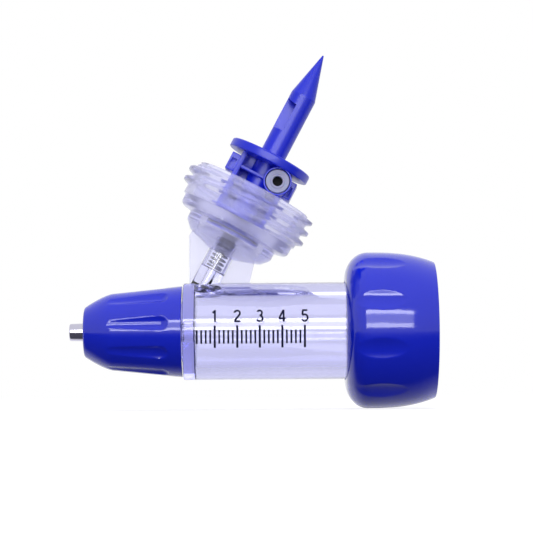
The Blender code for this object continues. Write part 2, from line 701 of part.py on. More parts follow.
def make_outlet_valve():
    valve = turned("outlet_valve", [
        (HEAD_FRONT - OUTLET_STEM_LENGTH, 0.0),
        (HEAD_FRONT - OUTLET_STEM_LENGTH, OUTLET_STEM_RADIUS),
        (HEAD_FRONT, OUTLET_STEM_RADIUS),
        (HEAD_FRONT, OUTLET_HEAD_RADIUS),
        (HEAD_REAR, OUTLET_HEAD_RADIUS),
        (HEAD_REAR, 0.0),
    ], SMALL_SIDES, BARREL_AXIS)
    finish(valve, ACETAL)
    seal = turned("outlet_seal", [
        (SEAL_FRONT, 0.0), (SEAL_FRONT, OUTLET_SEAL_RADIUS),
        (SEAL_REAR, OUTLET_SEAL_RADIUS), (SEAL_REAR, 0.0),
    ], SMALL_SIDES, BARREL_AXIS)
    finish(seal, RUBBER)
    coil = spring("outlet_spring", OUTLET_COIL_RADIUS, OUTLET_WIRE, SPRING_POCKET_END,
                  HEAD_FRONT, OUTLET_CURLS, BARREL_AXIS)
    finish(coil, STEEL)


def make_inlet_valve():
    valve = turned("inlet_valve", [
        (INLET_HEAD_BOTTOM - INLET_STEM_LENGTH, 0.0),
        (INLET_HEAD_BOTTOM - INLET_STEM_LENGTH, INLET_STEM_RADIUS),
        (INLET_HEAD_BOTTOM, INLET_STEM_RADIUS),
        (INLET_HEAD_BOTTOM, INLET_HEAD_RADIUS),
        (INLET_HEAD_TOP, INLET_HEAD_RADIUS),
        (INLET_HEAD_TOP, 0.0),
    ], SMALL_SIDES, PORT_AXIS)
    finish(valve, RUBBER)
    seat = turned("inlet_seat", [
        (SEAT_BOTTOM, SEAT_HOLE_RADIUS), (SEAT_BOTTOM, SEAT_RADIUS),
        (SEAT_BOTTOM + SEAT_THICKNESS, SEAT_RADIUS),
        (SEAT_BOTTOM + SEAT_THICKNESS, SEAT_HOLE_RADIUS),
    ], SMALL_SIDES, PORT_AXIS)
    finish(seat, SILICONE)
    coil = spring("inlet_spring", INLET_COIL_RADIUS, INLET_WIRE, VALVE_CHAMBER_START,
                  INLET_HEAD_BOTTOM, INLET_CURLS, PORT_AXIS)
    finish(coil, STEEL)


def make_bottle_spike():
    """The blue moulding: plug, caged passages, stopper flange and piercing point."""
    ring_radius = PLUG_RADIUS - SPIKE_RING_SECTION / 2
    ring_middle = PLUG_BOTTOM + PLUG_HEIGHT / 2
    groove_half = SPIKE_RING_SECTION / 2 + SEAT_GAP
    groove_radius = ring_radius - SPIKE_RING_SECTION / 2 - SEAT_GAP
    spike = turned("bottle_spike", [
        (PLUG_BOTTOM, SEAT_RADIUS + SEAT_GAP),
        (PLUG_BOTTOM, PLUG_RADIUS),
        (ring_middle - groove_half, PLUG_RADIUS),
        (ring_middle - groove_half, groove_radius),
        (ring_middle + groove_half, groove_radius),
        (ring_middle + groove_half, PLUG_RADIUS),
        (PLUG_TOP, PLUG_RADIUS),
        (PLUG_TOP, SPIKE_COLUMN_RADIUS),
        (CAGE_FLOOR, SPIKE_COLUMN_RADIUS),
        (CAGE_FLOOR, CAGE_FLOOR_RADIUS),
        (CAGE_FLOOR + CAGE_FLOOR_THICKNESS, CAGE_FLOOR_RADIUS),
        (CAGE_FLOOR + CAGE_FLOOR_THICKNESS, 0.0),
        (SEAT_RECESS_TOP, 0.0),
        (SEAT_RECESS_TOP, SEAT_RADIUS + SEAT_GAP),
    ], SMALL_SIDES, PORT_AXIS)
    head = turned("spike_head_form", filleted([
        (FLANGE_BOTTOM, 0.0, 0.0),
        (FLANGE_BOTTOM, FLANGE_RADIUS, FLANGE_FILLET),
        (FLANGE_TOP, FLANGE_RADIUS, FLANGE_FILLET),
        (FLANGE_TOP, SHAFT_RADIUS, 0.0),
        (SHAFT_TOP, SHAFT_RADIUS, 0.0),
        (SPIKE_TIP, POINT_RADIUS, 0.0),
        (SPIKE_TIP, 0.0, 0.0),
    ]), NUT_SIDES, PORT_AXIS, cutter=True)
    in_floor = CAGE_FLOOR + CAGE_FLOOR_THICKNESS / 2
    in_flange = FLANGE_BOTTOM + FLANGE_THICKNESS / 2
    half_post = POST_WIDTH / 2
    for side in (-1, 1):
        for face in (-1, 1):
            centre = (side * POST_ACROSS, face * POST_DEPTH)
            post = box(f"post_{side}_{face}_form",
                       (centre[0] - half_post, centre[1] - half_post, in_floor),
                       (centre[0] + half_post, centre[1] + half_post, in_flange), PORT_AXIS)
            join(spike, post)
        near = (POST_ACROSS + half_post / 2) * side
        far = LUG_OUTER * side
        lug_depth = POST_DEPTH + half_post / 2
        lug = box(f"lug_{side}_form", (min(near, far), -lug_depth, LUG_BOTTOM),
                  (max(near, far), lug_depth, LUG_TOP), PORT_AXIS)
        join(spike, lug)
    for face in (-1, 1):
        rib = box(f"rib_{face}_form",
                  (-POST_ACROSS, face * POST_DEPTH - half_post / 2, RIB_HEIGHT - RIB_THICKNESS / 2),
                  (POST_ACROSS, face * POST_DEPTH + half_post / 2, RIB_HEIGHT + RIB_THICKNESS / 2),
                  PORT_AXIS)
        join(spike, rib)
    liquid = (LIQUID_BORE_ACROSS, LIQUID_BORE_DEPTH)
    air = (AIR_BORE_ACROSS, AIR_BORE_DEPTH)
    join(spike, rod("column_form", SHAFT_RADIUS, (0.0, 0.0, in_floor), (0.0, 0.0, in_flange),
                    PORT_AXIS, SMALL_SIDES))
    join(spike, box("panel_form", (-POST_ACROSS - half_post, -PANEL_THICKNESS / 2, RIB_HEIGHT),
                    (0.0, PANEL_THICKNESS / 2, in_flange), PORT_AXIS))
    half_wall = BACK_WALL_THICKNESS / 2
    join(spike, box("back_wall_form", (-POST_ACROSS, POST_DEPTH - half_wall, in_floor),
                    (POST_ACROSS, POST_DEPTH + half_wall, in_flange), PORT_AXIS))
    join(spike, rod("vent_boss_form", VENT_BOSS_RADIUS, (VENT_ACROSS, -VENT_FRONT, VENT_HEIGHT),
                    (VENT_ACROSS, VENT_BACK, VENT_HEIGHT), PORT_AXIS, SMALL_SIDES))
    join(spike, head)
    liquid_notch = FLANGE_TOP + LIQUID_NOTCH_START
    air_notch = FLANGE_TOP + AIR_NOTCH_START
    cut(spike, rod("liquid_bore_cutter", LIQUID_BORE_RADIUS,
                   (*liquid, SEAT_RECESS_TOP - SEAT_GAP), (*liquid, liquid_notch + CUT_OVER), PORT_AXIS))
    cut(spike, rod("air_bore_cutter", AIR_BORE_RADIUS, (*air, VENT_HEIGHT),
                   (*air, air_notch + CUT_OVER), PORT_AXIS))
    outer = 2 * SHAFT_RADIUS
    cut(spike, box("liquid_notch_cutter", (-outer, -outer, liquid_notch),
                   (-NOTCH_EDGE, -NOTCH_EDGE, liquid_notch + LIQUID_NOTCH_LENGTH), PORT_AXIS))
    cut(spike, box("air_notch_cutter", (NOTCH_EDGE, NOTCH_EDGE, air_notch),
                   (outer, outer, air_notch + AIR_NOTCH_LENGTH), PORT_AXIS))
    valve_pocket = -VENT_FRONT + VENT_VALVE_THICKNESS
    filter_pocket = valve_pocket + 2 * SEAT_GAP + FILTER_THICKNESS
    vent_axis = (VENT_ACROSS, 0.0, VENT_HEIGHT)
    vent = turned("vent_cutter", [
        (-VENT_FRONT - CUT_OVER, 0.0),
        (-VENT_FRONT - CUT_OVER, VENT_BOSS_RADIUS - VENT_WALL),
        (valve_pocket + SEAT_GAP, VENT_BOSS_RADIUS - VENT_WALL),
        (valve_pocket + SEAT_GAP, FILTER_RADIUS + SEAL_GAP),
        (filter_pocket + SEAT_GAP, FILTER_RADIUS + SEAL_GAP),
        (filter_pocket + SEAT_GAP, VENT_HOLE_RADIUS),
        (VENT_PASSAGE_END, VENT_HOLE_RADIUS),
        (VENT_PASSAGE_END, 0.0),
    ], SMALL_SIDES, PORT_AXIS, vent_axis, cutter=True)
    vent.rotation_euler = (math.radians(-90.0), 0.0, 0.0)
    cut(spike, vent)
    cut(spike, rod("air_cross_cutter", AIR_BORE_RADIUS, (AIR_BORE_ACROSS, AIR_BORE_DEPTH, VENT_HEIGHT),
                   (VENT_ACROSS, AIR_BORE_DEPTH, VENT_HEIGHT), PORT_AXIS))
    finish(spike, BLUE)
    ring = turned("spike_o_ring", ring_outline(ring_middle, ring_radius, SPIKE_RING_SECTION),
                  SMALL_SIDES, PORT_AXIS)
    finish(ring, RUBBER)
    make_vent(vent_axis, valve_pocket)


def make_vent(at, pocket):
    """The silicone air valve in the mouth of the vent boss and the foam filter behind it."""
    outer = VENT_BOSS_RADIUS - VENT_WALL - SEAL_GAP
    front = -VENT_FRONT
    valve = turned("vent_valve", filleted([
        (front, VENT_HOLE_RADIUS, 0.0), (front, outer, SEAL_GAP),
        (pocket, outer, 0.0), (pocket, VENT_HOLE_RADIUS, 0.0),
    ]), SMALL_SIDES, PORT_AXIS, at)
    foam_front = pocket + SEAT_GAP + SEAT_GAP
    foam = turned("vent_filter", [
        (foam_front, 0.0), (foam_front, FILTER_RADIUS),
        (foam_front + FILTER_THICKNESS, FILTER_RADIUS), (foam_front + FILTER_THICKNESS, 0.0),
    ], TINY_SIDES * 2, PORT_AXIS, at)
    for obj in (valve, foam):
        obj.rotation_euler = (math.radians(-90.0), 0.0, 0.0)
    finish(valve, SILICONE)
    finish(foam, RUBBER)


def coupling_nut_outline():
    """The outside of the coupling nut: a quarter ellipse and a crowned, narrowing body."""
    lip = BARREL_RADIUS + RUN_GAP + NUT_LIP_LAND
    rise = NUT_RADIUS - lip
    points = []
    steps = 6
    for step in range(steps + 1):
        angle = math.pi / 2 * step / steps
        points.append((NUT_FRONT + NUT_CROWN * (1 - math.cos(angle)), lip + rise * math.sin(angle)))
    body = NUT_LENGTH - NUT_CROWN
    steps = 5
    for step in range(1, steps + 1):
        share = step / steps
        drop = (NUT_RADIUS - NUT_REAR_RADIUS) * share ** NUT_TAPER_POWER
        points.append((NUT_FRONT + NUT_CROWN + body * share, NUT_RADIUS - drop))
    return points


def scallop_outline():
    """A spindle whose cap, as deep as the scallop, has the scallop's width and length."""
    half_width = SCALLOP_WIDTH / 2
    half_length = SCALLOP_LENGTH / 2
    curvature = 2 * SCALLOP_DEPTH / (half_width ** 2 + SCALLOP_DEPTH ** 2)
    radius = 1 / (curvature - 1 / NUT_RADIUS)
    sweep = (half_length ** 2 + SCALLOP_DEPTH ** 2) / (2 * SCALLOP_DEPTH)
    reach = half_length * 1.2
    points = [(-reach, 0.0)]
    steps = 8
    for step in range(steps + 1):
        along = reach * (2 * step / steps - 1)
        points.append((along, radius - sweep + math.sqrt(sweep ** 2 - along ** 2)))
    points.append((reach, 0.0))
    return points, radius


def make_coupling_nut():
    hole = BARREL_RADIUS + RUN_GAP
    nut = turned("coupling_nut", [
        (NUT_FRONT, hole),
        *coupling_nut_outline(),
        (NUT_REAR, NUT_REAR_BORE_RADIUS),
        (NUT_REAR - NUT_REAR_BAND, NUT_CAVITY_RADIUS),
        (NUT_SHOULDER, NUT_CAVITY_RADIUS),
        (NUT_SHOULDER, hole),
    ], NUT_SIDES, BARREL_AXIS)
    thread_length = NUT_THREAD_TURNS * NUT_THREAD_PITCH
    thread_start = NUT_REAR - NUT_REAR_BAND - NUT_THREAD_PITCH / 2 - thread_length
    join(nut, helical_ridge(
        "nut_thread_form", NUT_CAVITY_RADIUS, NUT_CAVITY_RADIUS - NUT_THREAD_DEPTH,
        NUT_THREAD_PITCH * 0.6, NUT_THREAD_PITCH * 0.25, NUT_THREAD_PITCH, thread_start,
        NUT_THREAD_TURNS, 0.0, NUT_SIDES, BARREL_AXIS))
    outline, radius = scallop_outline()
    distance = NUT_RADIUS + radius - SCALLOP_DEPTH
    middle = NUT_FRONT + SCALLOP_START + SCALLOP_LENGTH / 2
    for index in range(SCALLOP_COUNT):
        angle = SCALLOP_FIRST_ANGLE + 2 * math.pi * index / SCALLOP_COUNT
        at = (-distance * math.sin(angle), -distance * math.cos(angle), middle)
        cut(nut, turned(f"scallop_{index + 1}_cutter", outline, NUT_SIDES, BARREL_AXIS, at, cutter=True))
    return finish(nut, BLUE)


def make_split_ring():
    """The snap ring in the barrel's groove that the coupling nut's shoulder pulls on."""
    inner = RING_GROOVE_RADIUS + SEAT_GAP
    rear = SPLIT_RING_FRONT + SPLIT_RING_THICKNESS
    ring = turned("split_ring", [
        (SPLIT_RING_FRONT, inner), (SPLIT_RING_FRONT, SPLIT_RING_RADIUS),
        (rear, SPLIT_RING_RADIUS), (rear, inner),
    ], NUT_SIDES, BARREL_AXIS)
    half = SPLIT_RING_OPENING / 2
    cut(ring, box("split_cutter", (0.0, -half, SPLIT_RING_FRONT - CUT_OVER),
                  (SPLIT_RING_RADIUS + CUT_OVER, half, rear + CUT_OVER), BARREL_AXIS))
    return finish(ring, STEEL)


def make_rear_gasket():
    front = BARREL_LENGTH + SEAT_GAP
    return finish(turned("rear_gasket", [
        (front, GASKET_BORE_RADIUS), (front, BARREL_RADIUS),
        (front + GASKET_THICKNESS, BARREL_RADIUS), (front + GASKET_THICKNESS, GASKET_BORE_RADIUS),
    ], NUT_SIDES, BARREL_AXIS), RUBBER)


def make_piston():
    """The piston at its parked end, with two seal rings and a threaded socket for the rod."""
    ring_radius = BORE_RADIUS - SEAL_GAP - PISTON_RING_SECTION / 2
    groove_radius = ring_radius - PISTON_RING_SECTION / 2 - SEAT_GAP
    groove_half = PISTON_RING_SECTION / 2 + SEAT_GAP
    middle = PISTON_FRONT + PISTON_LENGTH / 2
    rings = [middle - PISTON_RING_SPACING / 2 - SEAT_GAP, middle + PISTON_RING_SPACING / 2 + SEAT_GAP]
    rear = PISTON_FRONT + PISTON_LENGTH
    socket_radius = INSERT_RADIUS + SEAT_GAP
    socket_floor = rear - INSERT_LENGTH - SEAT_GAP
    corners = [
        (PISTON_FRONT, 0.0, 0.0),
        (PISTON_FRONT, PISTON_RADIUS, PISTON_FILLET),
    ]
    for ring in rings:
        corners += [
            (ring - groove_half, PISTON_RADIUS, 0.0),
            (ring - groove_half, groove_radius, 0.0),
            (ring + groove_half, groove_radius, 0.0),
            (ring + groove_half, PISTON_RADIUS, 0.0),
        ]
    corners += [
        (rear, PISTON_RADIUS, PISTON_FILLET),
        (rear, socket_radius, 0.0),
        (socket_floor, socket_radius, 0.0),
        (socket_floor, 0.0, 0.0),
    ]
    finish(turned("piston_body", filleted(corners), BARREL_SIDES, BARREL_AXIS), ACETAL)
    for name, ring in zip(("piston_ring_front", "piston_ring_rear"), rings):
        finish(turned(name, ring_outline(ring, ring_radius, PISTON_RING_SECTION), SMALL_SIDES,
                      BARREL_AXIS), RUBBER)
    insert = turned("piston_insert", [
        (rear - INSERT_LENGTH, INSERT_BORE_RADIUS), (rear - INSERT_LENGTH, INSERT_RADIUS),
        (rear, INSERT_RADIUS), (rear, INSERT_BORE_RADIUS),
    ], SMALL_SIDES, BARREL_AXIS)
    finish(insert, BRASS)


clear_scene()
PARTS = collection("syringe_head")
CUTTERS = collection("cutters")
CUTTERS.hide_render = True
BARREL_AXIS = axis_empty("barrel_axis", (SHOULDER_X, 0.0, AXIS_HEIGHT), math.radians(90.0))
PORT_AXIS = axis_empty("port_axis", (SHOULDER_X + PORT_FOOT, 0.0, AXIS_HEIGHT), PORT_LEAN)
WORLD_AXIS = axis_empty("web_frame", (SHOULDER_X, 0.0, AXIS_HEIGHT), 0.0)

make_barrel()
make_luer_tip()
make_tip_washer()
make_nose_nut()
make_outlet_valve()
make_inlet_valve()
make_bottle_spike()
make_coupling_nut()
make_split_ring()
make_rear_gasket()
make_piston()
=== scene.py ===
# %% [markdown]
# # The head of an automatic syringe
# A vet's automatic syringe doses a whole herd from one bottle. This is its working head: a
# clear barrel with a dose scale, a leaning cup that the bottle screws into, a blue spike for
# the stopper, a nose nut with a plated needle tip, and the big nut that holds it to the handle.
# The engineering model is loaded first and never moved. Every piece below is a finer body for
# one of its solids, so each is made at the solid's own sizes and rides on the solid's own body.

# %% Load the engineering model
import math

import bmesh
import bpy
from mathutils import Matrix, Vector


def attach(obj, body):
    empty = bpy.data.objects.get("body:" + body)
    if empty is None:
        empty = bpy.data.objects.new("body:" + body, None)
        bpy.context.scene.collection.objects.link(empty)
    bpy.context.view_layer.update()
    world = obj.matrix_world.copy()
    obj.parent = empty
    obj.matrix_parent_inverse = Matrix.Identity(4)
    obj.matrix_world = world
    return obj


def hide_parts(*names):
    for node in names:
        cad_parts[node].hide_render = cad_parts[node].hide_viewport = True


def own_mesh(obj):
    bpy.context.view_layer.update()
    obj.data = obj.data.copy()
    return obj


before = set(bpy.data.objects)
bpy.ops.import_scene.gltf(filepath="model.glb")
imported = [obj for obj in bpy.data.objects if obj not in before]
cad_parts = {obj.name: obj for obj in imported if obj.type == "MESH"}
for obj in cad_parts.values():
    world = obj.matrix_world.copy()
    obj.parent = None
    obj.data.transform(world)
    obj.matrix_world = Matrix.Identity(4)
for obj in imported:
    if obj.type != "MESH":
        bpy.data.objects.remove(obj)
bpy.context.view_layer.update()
print("solids:", ", ".join(sorted(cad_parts)))

# %% [markdown]
# ## Two axes
# Nearly every piece is round about one of two lines: the barrel's axis, which runs level from
# the nose to the coupling nut, and the port's axis, which leans 28 degrees towards the nut.
# Sizes could be typed as world positions, but then a leaning cup is hard to think about.
# Instead each axis is a small matrix that turns millimetres along and across it into metres
# in the world. Local Z is the way along, and on the barrel local X points down.

# %% The barrel's axis and the port's axis
MM = 0.001
AXIS_HEIGHT = 17.1
SHOULDER_X = -14.525
PORT_FOOT = -1.2


def leaning(x, degrees):
    """The matrix from millimetres along an axis to metres in the world."""
    place = Matrix.Translation((x, 0.0, AXIS_HEIGHT))
    return Matrix.Scale(MM, 4) @ place @ Matrix.Rotation(math.radians(degrees), 4, "Y")


BARREL = leaning(SHOULDER_X, 90.0)
PORT = leaning(SHOULDER_X + PORT_FOOT, 28.0)
PORT_FROM_BARREL = BARREL.inverted() @ PORT
print("shoulder at", [round(c, 5) for c in BARREL @ Vector((0.0, 0.0, 0.0))])

# %% [markdown]
# ## The camera
# The photograph was taken level with the bench, from far enough away that the rims hardly
# open up. A long lens a little under half a metre off gives the same slight bulge of the near
# edges, and looking up by three and a half degrees shows the underside of the spike's flange.

# %% Set the camera
CAMERA_DISTANCE = 439.6
CAMERA_TARGET = Vector((3.3, 0.0, 31.3))
CAMERA_RISE = math.radians(-3.5)
CAMERA_ROLL = math.radians(-0.42)

lens = bpy.data.cameras.new("camera")
lens.lens = 135.0
lens.sensor_width = 36.0
lens.clip_start = 0.01
camera = bpy.data.objects.new("camera", lens)
bpy.context.scene.collection.objects.link(camera)
back = Vector((0.0, -math.cos(CAMERA_RISE), math.sin(CAMERA_RISE)))
camera.location = (CAMERA_TARGET + back * CAMERA_DISTANCE) * MM
look = (-back).to_track_quat("-Z", "Y").to_matrix()
camera.rotation_euler = (look @ Matrix.Rotation(CAMERA_ROLL, 3, "Z")).to_euler()
bpy.context.scene.camera = camera
bpy.context.scene.view_settings.view_transform = "Standard"
print("camera at", [round(c, 4) for c in camera.location])

# %% [markdown]
# ## Colour and nodes
# Colours are picked from a screen as sRGB hex, but Blender computes with linear light, so one
# function turns the first into the second. One more adds a node with its settings and links,
# which keeps each material below readable as a short recipe, and another gives a solid its
# shader. Meshes are built as bmesh forms, and the last function makes a form into an object.

# %% Helpers for materials
def linear(code):
    """An sRGB hex colour as linear RGBA."""
    channels = [int(code[i:i + 2], 16) / 255 for i in (1, 3, 5)]
    return [c / 12.92 if c <= 0.04045 else ((c + 0.055) / 1.055) ** 2.4 for c in channels] + [1.0]


def add(tree, kind, settings=None, links=None):
    """Adds a node, sets its sockets and properties, and links its inputs to outputs."""
    made = tree.nodes.new("ShaderNode" + kind)
    for name, value in (settings or {}).items():
        if isinstance(name, int) or name in made.inputs:
            made.inputs[name].default_value = value
        else:
            setattr(made, name, value)
    for name, output in (links or {}).items():
        tree.links.new(output, made.inputs[name])
    return made


def new_material(name):
    """An empty material with its node tree, its surface output and object coordinates."""
    material = bpy.data.materials.new(name)
    material.use_nodes = True
    tree = material.node_tree
    tree.nodes.clear()
    output = add(tree, "OutputMaterial")
    place = add(tree, "TexCoord").outputs["Object"]
    return material, tree, output, place


def surface(tree, output, settings, links, height, relief, strength=0.5):
    """Ends a material in one shader whose normal follows a relief of so many millimetres."""
    normal = add(tree, "Bump", {"Strength": strength, "Distance": relief * MM},
                 {"Height": height}).outputs["Normal"]
    shader = add(tree, "BsdfPrincipled", settings, {**links, "Normal": normal})
    tree.links.new(shader.outputs[0], output.inputs["Surface"])


def object_of(name, form, material=None):
    """Makes a form into an object in the scene and lets go of the form."""
    mesh = bpy.data.meshes.new(name)
    form.to_mesh(mesh)
    form.free()
    if material:
        mesh.materials.append(material)
    obj = bpy.data.objects.new(name, mesh)
    bpy.context.scene.collection.objects.link(obj)
    return obj


def per(millimetres):
    """The texture scale that repeats about once in so many millimetres."""
    return 1.0 / (millimetres * MM)


print("mid grey is", [round(c, 3) for c in linear("#808080")])

# %% [markdown]
# ## The floor
# The object stands on a plain pale studio floor. A diffuse floor alone would render a little
# darker than the white background and show a horizon. So part of what the camera, mirrors and
# clear plastic see of it is a steady glow of the background's own white, and the rest is
# ordinary diffuse shading, which keeps the soft shadow under the object. Further out the glow
# takes over until floor and background are one. Light that bounces gets the plain paper.

# %% Make the floor
FLOOR_RADIUS = 2.5
FLOOR_SINK = 0.00005
GLOW_NEAR, GLOW_FAR = 0.12, 0.7
GLOW_SHARE = 0.62
GLOW_LEVEL = 1.3
WHITE = (1.0, 1.0, 1.0, 1.0)

form = bmesh.new()
bmesh.ops.create_circle(form, cap_ends=True, segments=96, radius=FLOOR_RADIUS)
floor = object_of("studio_floor", form)
floor.location.z = -FLOOR_SINK
print("floor", FLOOR_RADIUS * 2, "m across")


# %% The floor's paper
def seen_directly(tree):
    """An output that is 1 for camera, glossy and transmission rays, and 0 for all others."""
    rays = add(tree, "LightPath").outputs
    seen = rays["Is Camera Ray"]
    for kind in ("Is Glossy Ray", "Is Transmission Ray"):
        seen = add(tree, "Math", {"operation": "MAXIMUM"},
                   {0: seen, 1: rays[kind]}).outputs[0]
    return seen


paper, tree, output, place = new_material("matt_studio_paper")
away = add(tree, "VectorMath", {"operation": "LENGTH"}, {0: place}).outputs["Value"]
share = add(tree, "MapRange",
            {"From Min": GLOW_NEAR, "From Max": GLOW_FAR, "To Min": GLOW_SHARE, "To Max": 1.0},
            {"Value": away}).outputs[0]
share = add(tree, "Math", {"operation": "MULTIPLY"},
            {0: share, 1: seen_directly(tree)}).outputs[0]
fibre = add(tree, "TexNoise", {"Scale": per(1.5), "Detail": 4.0}, {"Vector": place})
tone = add(tree, "MixRGB", {"Color1": linear("#F0F0F0"), "Color2": linear("#F6F6F6")},
           {"Fac": fibre.outputs["Fac"]}).outputs[0]
matt = add(tree, "BsdfDiffuse", {}, {"Color": tone}).outputs[0]
level = add(tree, "MapRange",
            {"From Min": GLOW_NEAR, "From Max": GLOW_FAR, "To Min": GLOW_LEVEL, "To Max": 1.0},
            {"Value": away}).outputs[0]
glow = add(tree, "Emission", {"Color": WHITE}, {"Strength": level}).outputs[0]
mixed = add(tree, "MixShader", {}, {0: share, 1: matt, 2: glow}).outputs[0]
tree.links.new(mixed, output.inputs["Surface"])
floor.data.materials.append(paper)
print("paper with a glow out to", GLOW_FAR, "m")

# %% [markdown]
# ## The light
# The square reflection on the coupling nut tells how the photograph was lit: one large soft
# box in front, from 2 to 29 degrees above the lens, with a brighter tube along its top and
# another along its bottom, and an even white room above. The tubes are for gloss alone, so
# only reflections see them. How evenly the blue darkens towards its underside tells of more
# light, from high in front and from behind, that nothing shiny shows.

# %% Set the lights
FRONT_DISTANCE = 1500.0
FRONT_WIDTH = 1400.0


def soft_box(name, degrees, distance, size, level, unseen=""):
    """A rectangular light, so many degrees above the object, where level 1 looks white."""
    turn = math.radians(degrees)
    light = bpy.data.lights.new(name, "AREA")
    light.shape = "RECTANGLE"
    light.size = size[0] * MM
    light.size_y = size[1] * MM
    light.energy = level * 4.0 * light.size * light.size_y
    lamp = bpy.data.objects.new(name, light)
    bpy.context.scene.collection.objects.link(lamp)
    towards = Vector((0.0, -math.cos(turn), math.sin(turn)))
    lamp.location = (Vector((0.0, 0.0, AXIS_HEIGHT)) + towards * distance) * MM
    lamp.rotation_euler = (-towards).to_track_quat("-Z", "Y").to_euler()
    if unseen:
        setattr(lamp, f"visible_{unseen}", False)
    print(f"{name}: {light.energy:.2f} W")


soft_box("front_soft_box", 15.5, FRONT_DISTANCE, (FRONT_WIDTH, 700.0), 2.1)
soft_box("upper_tube", 25.7, FRONT_DISTANCE - 12, (FRONT_WIDTH, 160.0), 6.0, "diffuse")
soft_box("lower_tube", 5.5, FRONT_DISTANCE - 12, (FRONT_WIDTH, 170.0), 5.2, "diffuse")
soft_box("high_soft_box", 60.0, 700.0, (700.0, 420.0), 2.0, "glossy")
soft_box("rear_soft_box", 110.0, 700.0, (700.0, 400.0), 1.2, "glossy")

# %% [markdown]
# Below the lens the nut and the needle tip reflect very little. Photographers lay a black card
# on the table in front of gloss and chrome to give them such a dark half. This one is dark grey
# flock. It ends just under the object and thins out towards the lens, so its reflection has
# soft edges. The camera and the clear plastic don't see it.

# %% Lay the black card
CARD_FRONT, CARD_BACK, CARD_SIDE, CARD_LIFT = -0.32, 0.012, 0.45, 0.0004
FADE_START, FADE_END = -0.3, -0.06
TIP_X, NUT_X = -0.039, 0.03
EDGE_AT_TIP, EDGE_AT_NUT, EDGE_BLUR = 0.002, -0.008, 0.004
BOUNCED_COVER = 0.7
form = bmesh.new()
form.faces.new([form.verts.new((x, y, CARD_LIFT)) for x, y in (
    (-CARD_SIDE, CARD_FRONT), (CARD_SIDE, CARD_FRONT), (CARD_SIDE, CARD_BACK),
    (-CARD_SIDE, CARD_BACK))])
card = object_of("black_card", form)
for ray in ("camera", "transmission", "volume_scatter", "shadow"):
    setattr(card, f"visible_{ray}", False)
print("card from", CARD_FRONT, "to", CARD_BACK, "m")

# %% The card's flock
black, tree, output, place = new_material("black_flock_card")
part = add(tree, "SeparateXYZ", {}, {"Vector": place}).outputs
# The back edge runs at a slant, from behind the needle tip to in front of the coupling nut.
edge = add(tree, "MapRange",
           {"From Min": TIP_X, "From Max": NUT_X, "To Min": EDGE_AT_TIP, "To Max": EDGE_AT_NUT},
           {"Value": part["X"]}).outputs[0]
past = add(tree, "Math", {"operation": "SUBTRACT"}, {0: part["Y"], 1: edge}).outputs[0]
front = add(tree, "MapRange", {"From Min": FADE_START, "From Max": FADE_END},
            {"Value": part["Y"]}).outputs[0]
behind = add(tree, "MapRange",
             {"From Min": -EDGE_BLUR, "From Max": EDGE_BLUR, "To Min": 1.0, "To Max": 0.0},
             {"Value": past}).outputs[0]
cover = add(tree, "Math", {"operation": "MULTIPLY"}, {0: front, 1: behind}).outputs[0]
nap = add(tree, "TexNoise", {"Scale": per(0.8), "Detail": 3.0}, {"Vector": place})
tone = add(tree, "MixRGB", {"Color1": linear("#55555C"), "Color2": linear("#65656C")},
           {"Fac": nap.outputs["Fac"]}).outputs[0]
matt = add(tree, "BsdfDiffuse", {}, {"Color": tone}).outputs[0]
clear = add(tree, "BsdfTransparent").outputs[0]
# Scattered light loses less to the card than reflections do.
bounced = add(tree, "LightPath").outputs["Is Diffuse Ray"]
kept = add(tree, "MapRange", {"To Min": 1.0, "To Max": BOUNCED_COVER},
           {"Value": bounced}).outputs[0]
cover = add(tree, "Math", {"operation": "MULTIPLY"}, {0: cover, 1: kept}).outputs[0]
mixed = add(tree, "MixShader", {}, {0: cover, 1: clear, 2: matt}).outputs[0]
tree.links.new(mixed, output.inputs["Surface"])
card.data.materials.append(black)
print("flock with edges blurred over", 2 * EDGE_BLUR, "m")

# %% [markdown]
# The world gives the rest of the light: an even level for diffuse surfaces, and plain white
# for the camera, for gloss and for what is seen through clear plastic.

# %% Set the world
AMBIENT = 0.3
world = bpy.data.worlds.new("studio")
bpy.context.scene.world = world
world.use_nodes = True
tree = world.node_tree
tree.nodes.clear()
level = add(tree, "MapRange", {"To Min": AMBIENT, "To Max": 1.0},
            {"Value": seen_directly(tree)}).outputs[0]
white = add(tree, "Background", {"Color": WHITE}, {"Strength": level}).outputs[0]
output = add(tree, "OutputWorld")
tree.links.new(white, output.inputs["Surface"])
print("world", AMBIENT)

# %% [markdown]
# ## Finishes
# The blue mouldings are dyed nylon. The two nuts are glossy, straight from a polished steel
# tool, and the spike is satin, from a tool with a fine spark-eroded grain. Neither surface is
# quite even: gloss has a faint orange-peel ripple about a millimetre across, satin has its
# grain, and both have cloudy patches and fine rub marks. Colour alone would look like paint,
# so all of them go in, each at its real size and very weak.

# %% Blue moulded nylon
def moulded_nylon(name, low, high, grain, relief, gloss=0.5):
    """Gloss with a soft sheen gradient gives the eye a hard, slightly waxy plastic."""
    material, tree, output, place = new_material(name)
    cloud = add(tree, "TexNoise", {"Scale": per(7.0), "Detail": 3.0}, {"Vector": place})
    colour = add(tree, "MixRGB",
                 {"Color1": linear("#0F22CA"), "Color2": linear("#1226D1")},
                 {"Fac": cloud.outputs["Fac"]}).outputs[0]
    rub = add(tree, "TexNoise", {"Scale": per(1.6), "Detail": 6.0, "Roughness": 0.65},
              {"Vector": place})
    rough = add(tree, "MapRange", {"To Min": low, "To Max": high},
                {"Value": rub.outputs["Fac"]}).outputs[0]
    peel = add(tree, "TexNoise", {"Scale": per(grain), "Detail": 3.0}, {"Vector": place})
    surface(tree, output, {"IOR": 1.53, "Specular IOR Level": gloss},
            {"Base Color": colour, "Roughness": rough}, peel.outputs["Fac"], relief)
    return material


